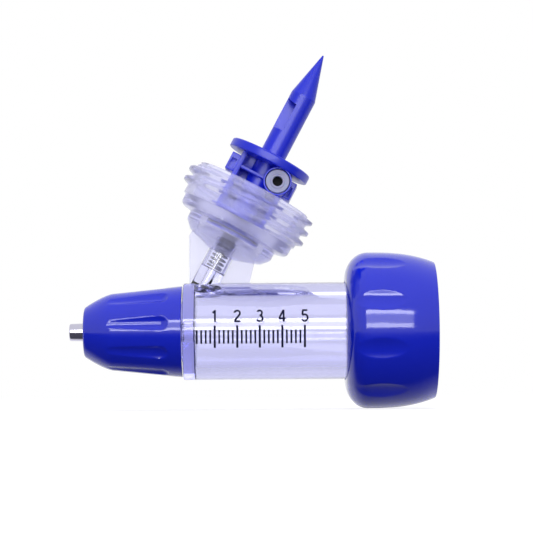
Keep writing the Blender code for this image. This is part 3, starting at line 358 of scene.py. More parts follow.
GLOSSY_NYLON = moulded_nylon("polished_moulded_blue_nylon", 0.05, 0.12, 1.1, 0.016)
# The satin of the spike spreads each reflection so far that it hardly shows.
SATIN_NYLON = moulded_nylon("spark_eroded_moulded_blue_nylon", 0.26, 0.36, 0.3, 0.008, 0.42)
print("made", GLOSSY_NYLON.name, SATIN_NYLON.name)

# %% [markdown]
# The barrel is moulded in clear polycarbonate, which bends light strongly. In thin walls it
# looks colourless and in thick ones lavender, and the solid front wall is the deepest, so the
# tint has to come from how far light travels inside. That is what a volume absorption does: a
# tinted surface would colour a thin web and a thick wall alike. Weak flow ripples keep the
# reflections from being ruler straight, and a trace of haze softens what is seen through it.

# %% Clear moulded polycarbonate
FLOW_RELIEF, FLOW_STRENGTH = 0.01, 0.2
LAVENDER = (0.08, 0.08, 0.75, 1.0)


def clear_polycarbonate(name, base, low, high, clear, bend, tinted):
    """Refraction with long faint ripples gives the eye thick, clean, moulded plastic."""
    material, tree, output, place = new_material(name)
    stretched = add(tree, "Mapping", {"Scale": (0.25, 1.0, 1.0)}, {"Vector": place})
    flow = add(tree, "TexNoise", {"Scale": per(3.0), "Detail": 2.0},
               {"Vector": stretched.outputs[0]})
    haze = add(tree, "TexNoise", {"Scale": per(5.0), "Detail": 4.0}, {"Vector": place})
    rough = add(tree, "MapRange", {"To Min": low, "To Max": high},
                {"Value": haze.outputs["Fac"]}).outputs[0]
    surface(tree, output,
            {"Base Color": linear(base), "IOR": bend, "Transmission Weight": clear,
             "Specular IOR Level": 0.25},
            {"Roughness": rough}, flow.outputs["Fac"], FLOW_RELIEF, FLOW_STRENGTH)
    tint = add(tree, "VolumeAbsorption", {"Color": LAVENDER, "Density": tinted})
    tree.links.new(tint.outputs[0], output.inputs["Volume"])
    return material


# The tube is polished inside and out, and clear.
CLEAR = clear_polycarbonate("clear_moulded_polycarbonate", "#F1F1FC", 0.02, 0.07, 1.0,
                            1.585, 60.0)
# The cup and webs come from a blasted tool, so they scatter a little and look milky. Their light
# is bent less than real plastic bends it, because dark edges would hide that paleness.
MILKY = clear_polycarbonate("satin_moulded_polycarbonate", "#EFEFFF", 0.13, 0.2, 0.78,
                            1.2, 26.0)
print("made", CLEAR.name, MILKY.name)

# %% [markdown]
# The small round parts are turned, ground or pressed, and each process leaves its own mark:
# turning leaves rings round the axis, a mirror plate keeps only their ghost, drawn wire has
# streaks, and rubber and foam are rough all over. Rings are a noise that varies only along
# the barrel, because the barrel's axis is the world's X.

# %% Metals
def turned_metal(name, dark, light, low, high, ring, relief):
    """A metal whose gloss and height vary in rings along the barrel, as a lathe leaves it."""
    material, tree, output, place = new_material(name)
    along = add(tree, "Mapping", {"Scale": (1.0, 0.04, 0.04)}, {"Vector": place})
    rings = add(tree, "TexNoise", {"Scale": per(ring), "Detail": 4.0},
                {"Vector": along.outputs[0]}).outputs["Fac"]
    smear = add(tree, "TexNoise", {"Scale": per(2.2), "Detail": 4.0},
                {"Vector": place}).outputs["Fac"]
    colour = add(tree, "MixRGB", {"Color1": linear(dark), "Color2": linear(light)},
                 {"Fac": smear}).outputs[0]
    rough = add(tree, "MapRange", {"To Min": low, "To Max": high},
                {"Value": rings}).outputs[0]
    surface(tree, output, {"Metallic": 1.0}, {"Base Color": colour, "Roughness": rough},
            rings, relief)
    return material


# Bright plate over brass: a mirror with a ghost of the turning under it.
PLATED_BRASS = turned_metal("bright_nickel_plated_brass", "#BFBDD0", "#CDCBDC", 0.05, 0.11,
                            0.25, 0.0015)
# Spring wire is drawn through a die, so it is bright but streaked.
SPRING_WIRE = turned_metal("drawn_stainless_spring_wire", "#A9AAB2", "#C4C5CB", 0.12, 0.26,
                           0.12, 0.002)
# The snap ring is stamped from strip, which leaves it duller.
FLAT_STEEL = turned_metal("stamped_stainless_strip", "#9C9DA3", "#B2B3B8", 0.22, 0.38,
                          0.3, 0.003)
# Brass straight from the lathe shows its rings and a warm tint.
TURNED_BRASS = turned_metal("turned_brass", "#C9A052", "#DDB768", 0.16, 0.3, 0.18, 0.003)
print("made", PLATED_BRASS.name, SPRING_WIRE.name, FLAT_STEEL.name, TURNED_BRASS.name)

# %% Rubbers, acetal, foam and ink
def matt_solid(name, dark, light, low, high, grain, relief, **more):
    """A rough solid with a grain of one size in its colour, gloss and height."""
    material, tree, output, place = new_material(name)
    noise = add(tree, "TexNoise", {"Scale": per(grain), "Detail": 5.0, "Roughness": 0.6},
                {"Vector": place}).outputs["Fac"]
    patch = add(tree, "TexNoise", {"Scale": per(grain * 12), "Detail": 2.0},
                {"Vector": place}).outputs["Fac"]
    colour = add(tree, "MixRGB", {"Color1": linear(dark), "Color2": linear(light)},
                 {"Fac": patch}).outputs[0]
    rough = add(tree, "MapRange", {"To Min": low, "To Max": high},
                {"Value": noise}).outputs[0]
    settings = {socket.replace("_", " "): value for socket, value in more.items()}
    surface(tree, output, settings, {"Base Color": colour, "Roughness": rough}, noise, relief,
            0.6)
    return material


# Moulded nitrile is black with a grey bloom and almost no gloss.
NITRILE = matt_solid("moulded_black_nitrile", "#1B1B1F", "#26262B", 0.5, 0.7, 0.12, 0.006,
                     IOR=1.52)
# Silicone is milky: light enters it, so it looks soft and a little grey.
SILICONE = matt_solid("moulded_milky_silicone", "#8F92B8", "#A3A6C8", 0.34, 0.5, 0.2, 0.004,
                      IOR=1.41, Subsurface_Weight=0.25, Subsurface_Scale=0.0012)
# Acetal turned from rod is a clean satin white.
ACETAL = matt_solid("turned_white_acetal", "#DCDCD8", "#E6E6E2", 0.3, 0.42, 0.25, 0.004,
                    IOR=1.48)
# Filter foam is open and dead matt, drawn with cells coarse enough to show. Its near black is
# painted shade, standing in for the shadow deep in the vent hole.
FOAM_DARK_AS_PAINTED_SHADE = matt_solid("open_cell_filter_foam_painted_shade", "#101013", "#2A2A2F", 0.85, 1.0, 0.3, 0.12,
                  IOR=1.45)
# Pad printed ink is a thin navy film, flat but not glossy.
INK = matt_solid("pad_printed_navy_ink", "#07062A", "#0B0A33", 0.55, 0.7, 0.15, 0.002,
                 Specular_IOR_Level=0.12)
print("made", NITRILE.name, SILICONE.name, ACETAL.name, FOAM_DARK_AS_PAINTED_SHADE.name, INK.name)

# %% [markdown]
# ## Round forms
# A turned piece is a profile swept about its axis. Blender's Screw modifier does that, but
# here many pieces need a surface that also changes round the axis: flutes, dished grips and
# threads. So the profile is swept in code, ring by ring, and an optional rule may move each
# point in or out. Corners of the profile are given with a fillet, because a real moulding or
# turning has no knife edges, and it is the fillets that catch the light.

# %% Outlines with softened corners
def rounded(corners, steps=5):
    """The (along, radius) points of an outline whose corners are (along, radius, fillet)."""
    points = []
    for index, (along, radius, fillet) in enumerate(corners):
        here = Vector((along, radius))
        if not fillet:
            points.append((along, radius))
            continue
        back = Vector(corners[index - 1][:2]) - here
        ahead = Vector(corners[(index + 1) % len(corners)][:2]) - here
        half = back.angle(ahead) / 2
        reach = min(fillet / math.tan(half), 0.48 * back.length, 0.48 * ahead.length)
        back.normalize()
        ahead.normalize()
        centre = here + (back + ahead).normalized() * (reach / math.cos(half))
        size = reach * math.tan(half)
        start = here + back * reach - centre
        end = here + ahead * reach - centre
        for step in range(steps + 1):
            spoke = start.lerp(end, step / steps).normalized() * size
            points.append(tuple(centre + spoke))
    return points


def stepped(points, spacing, low=-1e9, high=1e9):
    """The same closed outline with its long edges split between two places along the axis."""
    split = []
    for here, after in zip(points, points[1:] + points[:1]):
        split.append(here)
        length = math.dist(here, after)
        inside = low <= min(here[0], after[0]) and max(here[0], after[0]) <= high
        count = math.ceil(length / spacing) if inside and length > 1.3 * spacing else 1
        for step in range(1, count):
            share = step / count
            split.append((here[0] + (after[0] - here[0]) * share,
                          here[1] + (after[1] - here[1]) * share))
    return split


trial = rounded([(0.0, 1.0, 0.1), (0.0, 2.0, 0.1), (1.0, 2.0, 0.1), (1.0, 1.0, 0.1)])
print("a square with soft corners has", len(trial), "points")


# %% Sweep an outline, or join rings into a bar
def swept(outline, segments, rule=None):
    """A closed form about local Z. The rule turns (along, radius, angle) into a radius."""
    form = bmesh.new()
    rings = []
    for along, radius in outline:
        if radius < 1e-6:
            rings.append([form.verts.new((0.0, 0.0, along))])
            continue
        ring = []
        for step in range(segments):
            angle = 2 * math.pi * step / segments
            out = rule(along, radius, angle) if rule else radius
            ring.append(form.verts.new((out * math.cos(angle), out * math.sin(angle), along)))
        rings.append(ring)
    for ring, following in zip(rings, rings[1:] + rings[:1]):
        for step in range(segments):
            after = (step + 1) % segments
            corners = [ring[step % len(ring)], ring[after % len(ring)],
                       following[after % len(following)], following[step % len(following)]]
            corners = list(dict.fromkeys(corners))
            if len(corners) > 2:
                form.faces.new(corners)
    bmesh.ops.recalc_face_normals(form, faces=form.faces)
    return form


def joined(form, rings):
    """Joins rings of corners in a row into a closed bar."""
    for ring, following in zip(rings, rings[1:]):
        for side in range(len(ring)):
            beside = (side + 1) % len(ring)
            form.faces.new((ring[side], ring[beside], following[beside], following[side]))
    form.faces.new(rings[0])
    form.faces.new(rings[-1])
    return form


trial = swept([(0.0, 0.0), (0.0, 1.0), (1.0, 0.0)], 24)
print("a swept cone has", len(trial.faces), "faces")
trial.free()


# %% Make a form into a piece
def piece(name, form, matrix, material, body, node, sharp=35):
    """Makes a form into an object in the world that stands for a solid and rides on its body."""
    form.transform(matrix)
    bmesh.ops.recalc_face_normals(form, faces=form.faces)
    open_edges = sum(len(edge.link_faces) != 2 for edge in form.edges)
    obj = object_of(name, form, material)
    mesh = obj.data
    mesh.shade_smooth()
    mesh.set_sharp_from_angle(angle=math.radians(sharp))
    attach(obj, body)
    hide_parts(node)
    size = ", ".join(f"{side / MM:.2f}" for side in obj.dimensions)
    print(f"{name}: {len(mesh.polygons)} faces, {size} mm, open edges {open_edges}")
    return obj


# %% [markdown]
# ## The coupling nut
# This large blue nut screws on to the handle and draws the barrel back with it. Its outside
# is a quarter ellipse at the lip, a crown, and a body that narrows towards the rear. Ten
# shallow dished grips are pressed into it. They could be cut with ten boolean spindles, but
# a fine swept skin that is lowered inside each dish shades more smoothly. The tool's parting
# line, a ridge a few hundredths of a millimetre high, crosses the near side.

# %% The coupling nut's sizes
NUT_FRONT = 34.9
NUT_SHOULDER = 38.3
NUT_REAR = 54.5
NUT_CROWN = 5.0
NUT_RADIUS = 17.1
NUT_REAR_RADIUS = 14.9
NUT_TAPER = 2.7
NUT_HOLE = 10.9
NUT_CAVITY = 13.9
NUT_LIP_RADIUS = 11.2
NUT_MOUTH = 13.1
NUT_REAR_FILLET = 0.25
# Where a thread starts, its pitch, turns and first angle, and its width at root and crest.
NUT_THREAD = (44.55, 2.5, 3.0, 0.0, 1.5, 0.6)
NUT_THREAD_HEIGHT = 0.8
DISH_COUNT = 10
DISH_FIRST = 21.2
DISH_MIDDLE = 42.3
DISH_LENGTH = 11.2
DISH_WIDTH = 4.5
DISH_DEPTH = 0.5
DISH_BLEND = 0.0012
PARTING_LINE = 42.48
PARTING_HEIGHT, PARTING_WIDTH = 0.025, 0.09
print("coupling nut:", round(NUT_REAR - NUT_FRONT, 2), "mm long,", 2 * NUT_RADIUS, "mm across")


# %% Places round the axis, and threads
def facing(angle):
    """Degrees from the camera's side, upwards, of an angle about the barrel's axis."""
    return math.degrees(math.atan2(-math.cos(angle), -math.sin(angle)))


def nearest(degrees, first, count):
    """How far an angle is from the nearest of several even places, in degrees."""
    spacing = 360.0 / count
    return (degrees - first + spacing / 2) % spacing - spacing / 2


def ridge(along, angle, start, pitch, turns, first, root, crest):
    """How much of a helical ridge stands at a place, from 0 between turns to 1 on the crest."""
    turned = (angle - first) % (2 * math.pi)
    total = 2 * math.pi * turns
    most = 0.0
    while turned <= total:
        off = abs(along - start - pitch * turned / (2 * math.pi))
        share = max(0.0, min(1.0, (root / 2 - off) / (root / 2 - crest / 2)))
        fade = min(1.0, turned / 0.7, (total - turned) / 0.7)
        most = max(most, share * share * (3 - 2 * share) * fade * fade * (3 - 2 * fade))
        turned += 2 * math.pi
    return most


print("the camera's side is at", round(facing(-math.pi / 2)), "degrees")


# %% Make the coupling nut
def nut_skin(along, radius, angle):
    """Lowers the outside in the dishes and raises the thread inside."""
    if radius > NUT_CAVITY + 0.6:
        across = math.radians(nearest(facing(angle), DISH_FIRST, DISH_COUNT)) * NUT_RADIUS
        off = 2 * (along - DISH_MIDDLE) / DISH_LENGTH
        inside = 1 - off * off - (2 * across / DISH_WIDTH) ** 2
        soft = (inside + math.sqrt(inside * inside + DISH_BLEND)) / 2 if inside > -0.2 else 0.0
        line = math.exp(-((along - PARTING_LINE) / PARTING_WIDTH) ** 2)
        return radius - DISH_DEPTH * soft + PARTING_HEIGHT * line
    if abs(radius - NUT_CAVITY) < 0.01 and NUT_SHOULDER + 1 < along < NUT_REAR - 1:
        return radius - NUT_THREAD_HEIGHT * ridge(along, angle, *NUT_THREAD)
    return radius


outside = []
for step in range(25):
    turn = math.pi / 2 * step / 24
    outside.append((NUT_FRONT + NUT_CROWN * (1 - math.cos(turn)),
                    NUT_LIP_RADIUS + (NUT_RADIUS - NUT_LIP_RADIUS) * math.sin(turn), 0.0))
body = NUT_REAR - NUT_FRONT - NUT_CROWN
for step in range(1, 61):
    share = step / 60
    outside.append((NUT_FRONT + NUT_CROWN + body * share,
                    NUT_RADIUS - (NUT_RADIUS - NUT_REAR_RADIUS) * share ** NUT_TAPER, 0.0))
outside[-1] = (*outside[-1][:2], NUT_REAR_FILLET)
profile = rounded([(NUT_FRONT, NUT_HOLE, 0.15)] + outside + [
    (NUT_REAR, NUT_MOUTH, 0.2), (NUT_REAR - 1.2, NUT_CAVITY, 0.0),
    (NUT_SHOULDER, NUT_CAVITY, 0.3), (NUT_SHOULDER, NUT_HOLE, 0.1)])
profile = stepped(profile, 0.3, NUT_SHOULDER + 0.5, NUT_REAR - 1.0)
piece("blue_coupling_nut", swept(profile, DISH_COUNT * 50, nut_skin), BARREL, GLOSSY_NYLON,
      "coupling_nut", "coupling_nut")

# %% [markdown]
# ## The nose nut
# The nose nut clamps the needle tip on the barrel's neck. It flares towards the barrel, and
# nine finger flutes are cut along it as if by a round-nosed cutter that sinks deeper towards
# the rear, so each flute widens and ends in a half circle. Working out how deep that cutter
# reaches at each point of the skin gives the same shape with clean shading.

# %% The nose nut's sizes
NOSE_FRONT = -22.2
NOSE_REAR = -0.7
NOSE_CONE = -15.8
NOSE_CONE_RADIUS = 8.45
NOSE_REAR_RADIUS = 10.0
NOSE_BORE = 6.5
NOSE_SHOULDER = -17.5
NOSE_FRONT_RADIUS = 5.35
NOSE_FRONT_FILLET = 1.1
NOSE_BULGE = 1.4
NOSE_THREAD = (-12.0, 1.5, 6.5, 0.0, 1.2, 0.3)
NOSE_THREAD_DEPTH = 0.45
TIP_HOLE = 2.43
FLUTE_COUNT = 9
FLUTE_FIRST = 10.0
FLUTE_CUTTER = 2.4
FLUTE_REAR = -3.8
FLUTE_AT_FRONT, FLUTE_DEPTH = 0.2, 0.7
FLUTE_SIDE = math.sqrt(2 * FLUTE_CUTTER * FLUTE_DEPTH - FLUTE_DEPTH ** 2)
FLUTE_BLEND = 0.04
print("nose nut:", round(NOSE_REAR - NOSE_FRONT, 2), "mm long,", 2 * NOSE_REAR_RADIUS, "mm across")


# %% Make the nose nut
def cone_radius(along):
    """The outside of the nose nut behind its rounded front."""
    share = (along - NOSE_CONE) / (NOSE_REAR - NOSE_CONE)
    return NOSE_CONE_RADIUS + (NOSE_REAR_RADIUS - NOSE_CONE_RADIUS) * share


def nose_skin(along, radius, angle):
    """Cuts the flutes outside and raises the thread inside."""
    if radius > NOSE_BORE + 0.5:
        around = math.radians(nearest(facing(angle), FLUTE_FIRST, FLUTE_COUNT))
        across = radius * math.sin(around)
        end = FLUTE_REAR - FLUTE_SIDE
        share = (min(along, end) - NOSE_CONE) / (end - NOSE_CONE)
        depth = FLUTE_AT_FRONT + (FLUTE_DEPTH - FLUTE_AT_FRONT) * share
        floor_radius = cone_radius(min(along, end)) - depth
        beyond = max(0.0, along - end)
        gap = FLUTE_CUTTER ** 2 - across ** 2 - beyond ** 2
        if gap > 0.0:
            reach = floor_radius + FLUTE_CUTTER - math.sqrt(gap)
            out = reach / math.cos(around)
            return (out + radius - math.sqrt((out - radius) ** 2 + FLUTE_BLEND ** 2)) / 2
    if abs(radius - NOSE_BORE) < 0.01 and -12.5 < along < -2.0:
        return radius + NOSE_THREAD_DEPTH * ridge(along, angle, *NOSE_THREAD)
    return radius


outside = []
for step in range(17):
    share = step / 16
    rise = 1 - (1 - share) ** NOSE_BULGE
    outside.append((NOSE_FRONT + (NOSE_CONE - NOSE_FRONT) * share,
                    NOSE_FRONT_RADIUS + (NOSE_CONE_RADIUS - NOSE_FRONT_RADIUS) * rise, 0.0))
outside = [(*outside[0][:2], NOSE_FRONT_FILLET)] + outside[2:]
for step in range(1, 56):
    along = NOSE_CONE + (NOSE_REAR - NOSE_CONE) * step / 56
    outside.append((along, cone_radius(along), 0.0))
profile = rounded([(NOSE_FRONT, TIP_HOLE, 0.2)] + outside + [
    (NOSE_REAR, NOSE_REAR_RADIUS, 0.2), (NOSE_REAR, NOSE_BORE, 0.4),
    (NOSE_SHOULDER, NOSE_BORE, 0.2), (NOSE_SHOULDER, TIP_HOLE, 0.1)])
profile = [point for number, point in enumerate(profile)
           if number == 0 or math.dist(point, profile[number - 1]) > 0.01]
profile = stepped(profile, 0.25, -13.0, -1.5)
piece("blue_nose_nut", swept(profile, FLUTE_COUNT * 34, nose_skin), BARREL, GLOSSY_NYLON,
      "nose_nut", "nose_nut")

# %% [markdown]
# ## The clear barrel moulding
# One clear moulding holds the bore, the threaded neck, the port with its valve chamber, the
# stepped bottle cup with its outside thread and two thin bracing webs. Since the light passes
# through every wall of it, its parts can't just overlap as separate meshes: they are joined
# and hollowed with exact booleans, working in millimetres, where those are most dependable.
# The real moulding is one piece, but its cup and webs are satin, and one mesh can't fill with
# two plastics. So they are a second skin, a hair's breadth clear of the tube and the port. The
# cup's thread is part of its sweep, so it stays perfectly smooth.

# %% Joining and cutting forms
def combined(form, steps):
    """A form after a list of (operation, form) steps, each an exact boolean."""
    obj = object_of("form", form)
    tools = []
    for operation, tool in steps:
        tools.append(object_of("tool", tool))
        boolean = obj.modifiers.new("step", "BOOLEAN")
        boolean.operation = operation
        boolean.solver = "EXACT"
        boolean.object = tools[-1]
    graph = bpy.context.evaluated_depsgraph_get()
    mesh = bpy.data.meshes.new_from_object(obj.evaluated_get(graph))
    result = bmesh.new()
    result.from_mesh(mesh)
    bmesh.ops.remove_doubles(result, verts=result.verts, dist=1e-4)
    bmesh.ops.dissolve_degenerate(result, edges=result.edges, dist=1e-4)
    for used in [obj, *tools]:
        bpy.data.objects.remove(used)
    bpy.data.meshes.remove(mesh)
    return result


def moved(form, matrix):
    """The same form in another frame."""
    form.transform(matrix)
    return form


def slab(outline, thickness):
    """A flat plate between two depths from (along, up) corners over the barrel's axis."""
    form = bmesh.new()
    faces = []
    for depth in (-thickness / 2, thickness / 2):
        faces.append([form.verts.new((-up, depth, along)) for along, up in outline])
    form.faces.new(faces[0])
    form.faces.new(reversed(faces[1]))
    for number in range(len(outline)):
        after = (number + 1) % len(outline)
        form.faces.new((faces[0][after], faces[0][number], faces[1][number], faces[1][after]))
    bmesh.ops.recalc_face_normals(form, faces=form.faces)
    return form


trial = slab([(0.0, 0.0), (0.0, 1.0), (1.0, 1.0)], 1.0)
print("a three-cornered plate has", len(trial.faces), "faces")
trial.free()

# %% The barrel's sizes
BORE = 8.0
BARREL_RADIUS = 10.6
BARREL_END = 41.0
NECK_RADIUS = 6.2
NECK_END = -13.5
FRONT_WALL = 2.1
SHOULDER = -0.4
NECK_BORE, NECK_BORE_END = 4.0, -4.2
FRONT_HOLE = 1.5
GROOVE_FRONT, GROOVE_REAR, GROOVE_RADIUS = 38.3, 39.7, 9.6
CUP_FOOT = 19.3
HAIR = 0.03
PORT_ROOT = 9.5
PORT_RADIUS = 2.9
CUP_BOWL_RADIUS = 10.3
CUP_SHELL_RADIUS = 13.1
CUP_THREAD_FOOT, CUP_THREAD_TOP = 27.7, 34.5
CUP_RADIUS = 13.6
CUP_WALL = 1.7
CUP_RIM, CUP_RIM_RADIUS = 35.2, 13.2
POCKET_FLOOR = 23.6
POCKET_RADIUS = 6.45
VALVE_CHAMBER = 2.15
VALVE_CHAMBER_START = 15.2
INLET_RADIUS = 0.75
NECK_ROOT = 5.85
NECK_THREAD = (-12.2, 1.5, 7.0, 0.0, 1.3, 0.4)
NECK_THREAD_HEIGHT = 0.5
CUP_THREAD = (28.7, 2.4, 2.35, math.radians(-100.0), 1.9, 0.55)
CUP_THREAD_HEIGHT = 1.4
WEB_THICKNESS = 1.2
WEB_FRONT, WEB_REAR = 0.9, 14.1
WEB_TOP = 21.1
WEB_IN_CUP = 22.35
WEB_UNDER_CUP = 21.3
CUT_PAST = 1.0
print("barrel: bore", 2 * BORE, "mm, wall", round(BARREL_RADIUS - BORE, 2), "mm")


# %% Make the outside of the moulding
def neck_skin(along, radius, angle):
    """A shallow screw thread on the neck, drawn inside the running gap of the nose nut."""
    if abs(radius - NECK_RADIUS) < 0.01 and -12.4 < along < -1.0:
        return NECK_ROOT + NECK_THREAD_HEIGHT * ridge(along, angle, *NECK_THREAD)
    return radius


def cup_skin(along, radius, angle):
    """The three turns of thread that take the bottle holder."""
    if abs(radius - CUP_RADIUS) < 0.01:
        return radius + CUP_THREAD_HEIGHT * ridge(along, angle, *CUP_THREAD)
    return radius


def on_port(along, across):
    """A place on the port's axis as (along the barrel, up from the barrel's axis)."""
    place = PORT_FROM_BARREL @ Vector((across, 0.0, along))
    return (place.z, -place.x)


tube = stepped(rounded([
    (NECK_END, 0.0, 0.0), (NECK_END, NECK_RADIUS, 0.4), (SHOULDER, NECK_RADIUS, 0.1),
    (SHOULDER, BARREL_RADIUS, 0.25), (GROOVE_FRONT, BARREL_RADIUS, 0.1),
    (GROOVE_FRONT, GROOVE_RADIUS, 0.15), (GROOVE_REAR, GROOVE_RADIUS, 0.15),
    (GROOVE_REAR, BARREL_RADIUS, 0.1), (BARREL_END, BARREL_RADIUS, 0.25),
    (BARREL_END, 0.0, 0.0)]), 0.25, -12.5, -0.9)
port = rounded([(PORT_ROOT, 0.0, 0.0), (PORT_ROOT, PORT_RADIUS, 0.0),
                (CUP_FOOT - HAIR, PORT_RADIUS, 0.05), (CUP_FOOT - HAIR, 0.0, 0.0)])
cup = stepped(rounded([
    (CUP_FOOT, 0.0, 0.0), (CUP_FOOT, PORT_RADIUS, 0.05), (21.1, 8.6, 1.2),
    (22.9, CUP_BOWL_RADIUS, 1.1), (24.7, CUP_BOWL_RADIUS, 0.5), (25.25, CUP_SHELL_RADIUS, 1.1),
    (CUP_THREAD_FOOT, CUP_SHELL_RADIUS, 0.3), (CUP_THREAD_FOOT, CUP_RADIUS, 0.15),
    (CUP_THREAD_TOP, CUP_RADIUS, 0.2), (CUP_THREAD_TOP, CUP_RIM_RADIUS, 0.1),
    (CUP_RIM, CUP_RIM_RADIUS, 0.2), (CUP_RIM, 0.0, 0.0)]), 0.16, 27.8, 34.4)
on_barrel_top = BARREL_RADIUS + HAIR
beside_port = PORT_RADIUS + 2 * HAIR


def port_height(side):
    """Where a line beside the port meets the top of the barrel, along the port's axis."""
    foot, above = on_port(0.0, side * beside_port), on_port(1.0, side * beside_port)
    return (on_barrel_top - foot[1]) / (above[1] - foot[1])


front_web = slab([(WEB_FRONT, on_barrel_top), (WEB_FRONT, WEB_TOP), on_port(WEB_IN_CUP, -8.0),
                  on_port(WEB_UNDER_CUP, -beside_port),
                  on_port(port_height(-1), -beside_port)], WEB_THICKNESS)
rear_web = slab([(WEB_REAR, on_barrel_top), (15.5, on_port(WEB_IN_CUP, 7.4)[1]),
                 on_port(WEB_IN_CUP, 5.0), on_port(WEB_UNDER_CUP, beside_port),
                 on_port(port_height(1), beside_port)], WEB_THICKNESS)
print("cup profile has", len(cup), "points")

# %% Hollow it and finish it
bore = rounded([
    (NECK_END - CUT_PAST, 0.0, 0.0), (NECK_END - CUT_PAST, NECK_BORE, 0.0),
    (NECK_BORE_END, NECK_BORE, 0.3), (NECK_BORE_END, FRONT_HOLE, 0.15),
    (FRONT_WALL, FRONT_HOLE, 0.15), (FRONT_WALL, BORE, 0.4), (BARREL_END + CUT_PAST, BORE, 0.0),
    (BARREL_END + CUT_PAST, 0.0, 0.0)])
inside = rounded([
    (8.6, 0.0, 0.0), (8.6, INLET_RADIUS, 0.0), (VALVE_CHAMBER_START, INLET_RADIUS, 0.0),
    (VALVE_CHAMBER_START, VALVE_CHAMBER, 0.3), (POCKET_FLOOR, VALVE_CHAMBER, 0.15),
    (POCKET_FLOOR, POCKET_RADIUS, 0.3), (26.0, POCKET_RADIUS, 0.3),
    (CUP_THREAD_FOOT, CUP_RADIUS - CUP_WALL, 0.5),
    (CUP_RIM + CUT_PAST, CUP_RADIUS - CUP_WALL, 0.0),
    (CUP_RIM + CUT_PAST, 0.0, 0.0)])
moulding = combined(swept(tube, 144, neck_skin), [
    ("UNION", moved(swept(port, 96), PORT_FROM_BARREL)),
    ("DIFFERENCE", swept(bore, 144)),
    ("DIFFERENCE", moved(swept(inside, 96), PORT_FROM_BARREL))])
piece("clear_barrel", moulding, BARREL, CLEAR, "head", "barrel", 30)
to_port = PORT_FROM_BARREL.inverted()
cup_form = combined(swept(cup, 168, cup_skin), [
    ("UNION", moved(front_web, to_port)),
    ("UNION", moved(rear_web, to_port)),
    ("DIFFERENCE", swept(inside, 96))])
piece("satin_bottle_cup", cup_form, PORT, MILKY, "head", "barrel", 30)

# %% [markdown]
# ## The dose scale
# The scale is printed on the barrel by a soft pad, so the ink follows the curve: five long
# strokes with their numerals, and short strokes for every fifth of a millilitre. The strokes
# are set as far apart as the photograph shows them.
# A texture would need an image, and paint in the material would be drawn wrong from the back.
# So each stroke and numeral is a real film three hundredths of a millimetre thick, bent round
# the barrel, and the plain upright numerals are drawn with pen lines of one width.

# %% The scale's sizes
INK_GAP = 0.012
INK_THICKNESS = 0.03
ZERO_MARK = 1.79
ML = 4.83
STROKE_TOP = 5.2
STROKE_FOOT = -21.0
SHORT_TOP = 0.1
SHORT_FOOT = -15.9
LONG_WIDTH, SHORT_WIDTH = 0.46, 0.39
NUMERAL_FOOT = 9.2
PEN_WIDTH = 0.4
PEN_STEP = 0.3
print("ink", INK_THICKNESS, "mm thick, a stroke every", round(ML / 5, 3), "mm")


# %% Strokes of ink
def on_barrel(along, degrees, lift):
    """A place on the barrel's skin, by degrees above the camera's side."""
    turn = math.radians(degrees)
    out = BARREL_RADIUS + lift
    return Vector((-out * math.sin(turn), -out * math.cos(turn), along))


def ring_of_ink(form, near, far):
    """The four corners of a bar of ink between two (along, degrees) places on the barrel."""
    return [form.verts.new(on_barrel(*place, lift)) for place, lift in (
        (near, INK_GAP), (far, INK_GAP), (far, INK_GAP + INK_THICKNESS),
        (near, INK_GAP + INK_THICKNESS))]


def stroke(form, along, width, top, foot):
    """A thin curved bar of ink added to a form."""
    places = [foot + (top - foot) * step / 12 for step in range(13)]
    joined(form, [ring_of_ink(form, (along - width / 2, place), (along + width / 2, place))
                  for place in places])


print("a long stroke runs over", STROKE_TOP - STROKE_FOOT, "degrees")


# %% Numerals in pen lines
def arc(x, y, across, up, first, last):
    """Points on part of an ellipse, between two angles in degrees."""
    turns = [math.radians(first + (last - first) * step / 20) for step in range(21)]
    return [(x + across * math.cos(turn), y + up * math.sin(turn)) for turn in turns]


def pen_line(form, along, corners):
    """A line of even width through (across, up) points, bent on to the barrel."""
    points = [Vector(corners[0])]
    for corner in corners[1:]:
        begun, corner = points[-1], Vector(corner)
        count = math.ceil((corner - begun).length / PEN_STEP)
        points += [begun.lerp(corner, step / count) for step in range(1, count + 1)]
    rings = []
    for number, point in enumerate(points):
        ahead = points[min(number + 1, len(points) - 1)] - points[max(number - 1, 0)]
        side = Vector((-ahead.y, ahead.x)).normalized() * PEN_WIDTH / 2
        rings.append(ring_of_ink(form, *(
            (along + edge.x, NUMERAL_FOOT + math.degrees(edge.y / BARREL_RADIUS))
            for edge in (point - side, point + side))))
    joined(form, rings)


# Each numeral as pen lines in millimetres, from the middle of its foot.
NUMERALS = {
    "1": [[(-0.46, 2.02), (0.06, 2.56)], [(0.06, 2.72), (0.06, 0.0)]],
    "2": [arc(0.0, 1.96, 0.6, 0.6, 170.0, -38.0) + [(-0.58, 0.22)], [(-0.68, 0.15), (0.7, 0.15)]],
    "3": [arc(-0.02, 2.0, 0.52, 0.56, 155.0, -90.0), arc(-0.02, 0.78, 0.64, 0.64, 90.0, -155.0)],
    "4": [[(0.26, 2.62), (-0.62, 0.8)], [(-0.76, 0.72), (0.74, 0.72)], [(0.3, 2.72), (0.3, 0.0)]],
    "5": [[(0.6, 2.57), (-0.48, 2.57)], [(-0.38, 2.6), (-0.5, 1.46)],
          arc(0.0, 0.86, 0.62, 0.74, 138.0, -150.0)]}
print("numerals:", ", ".join(NUMERALS))

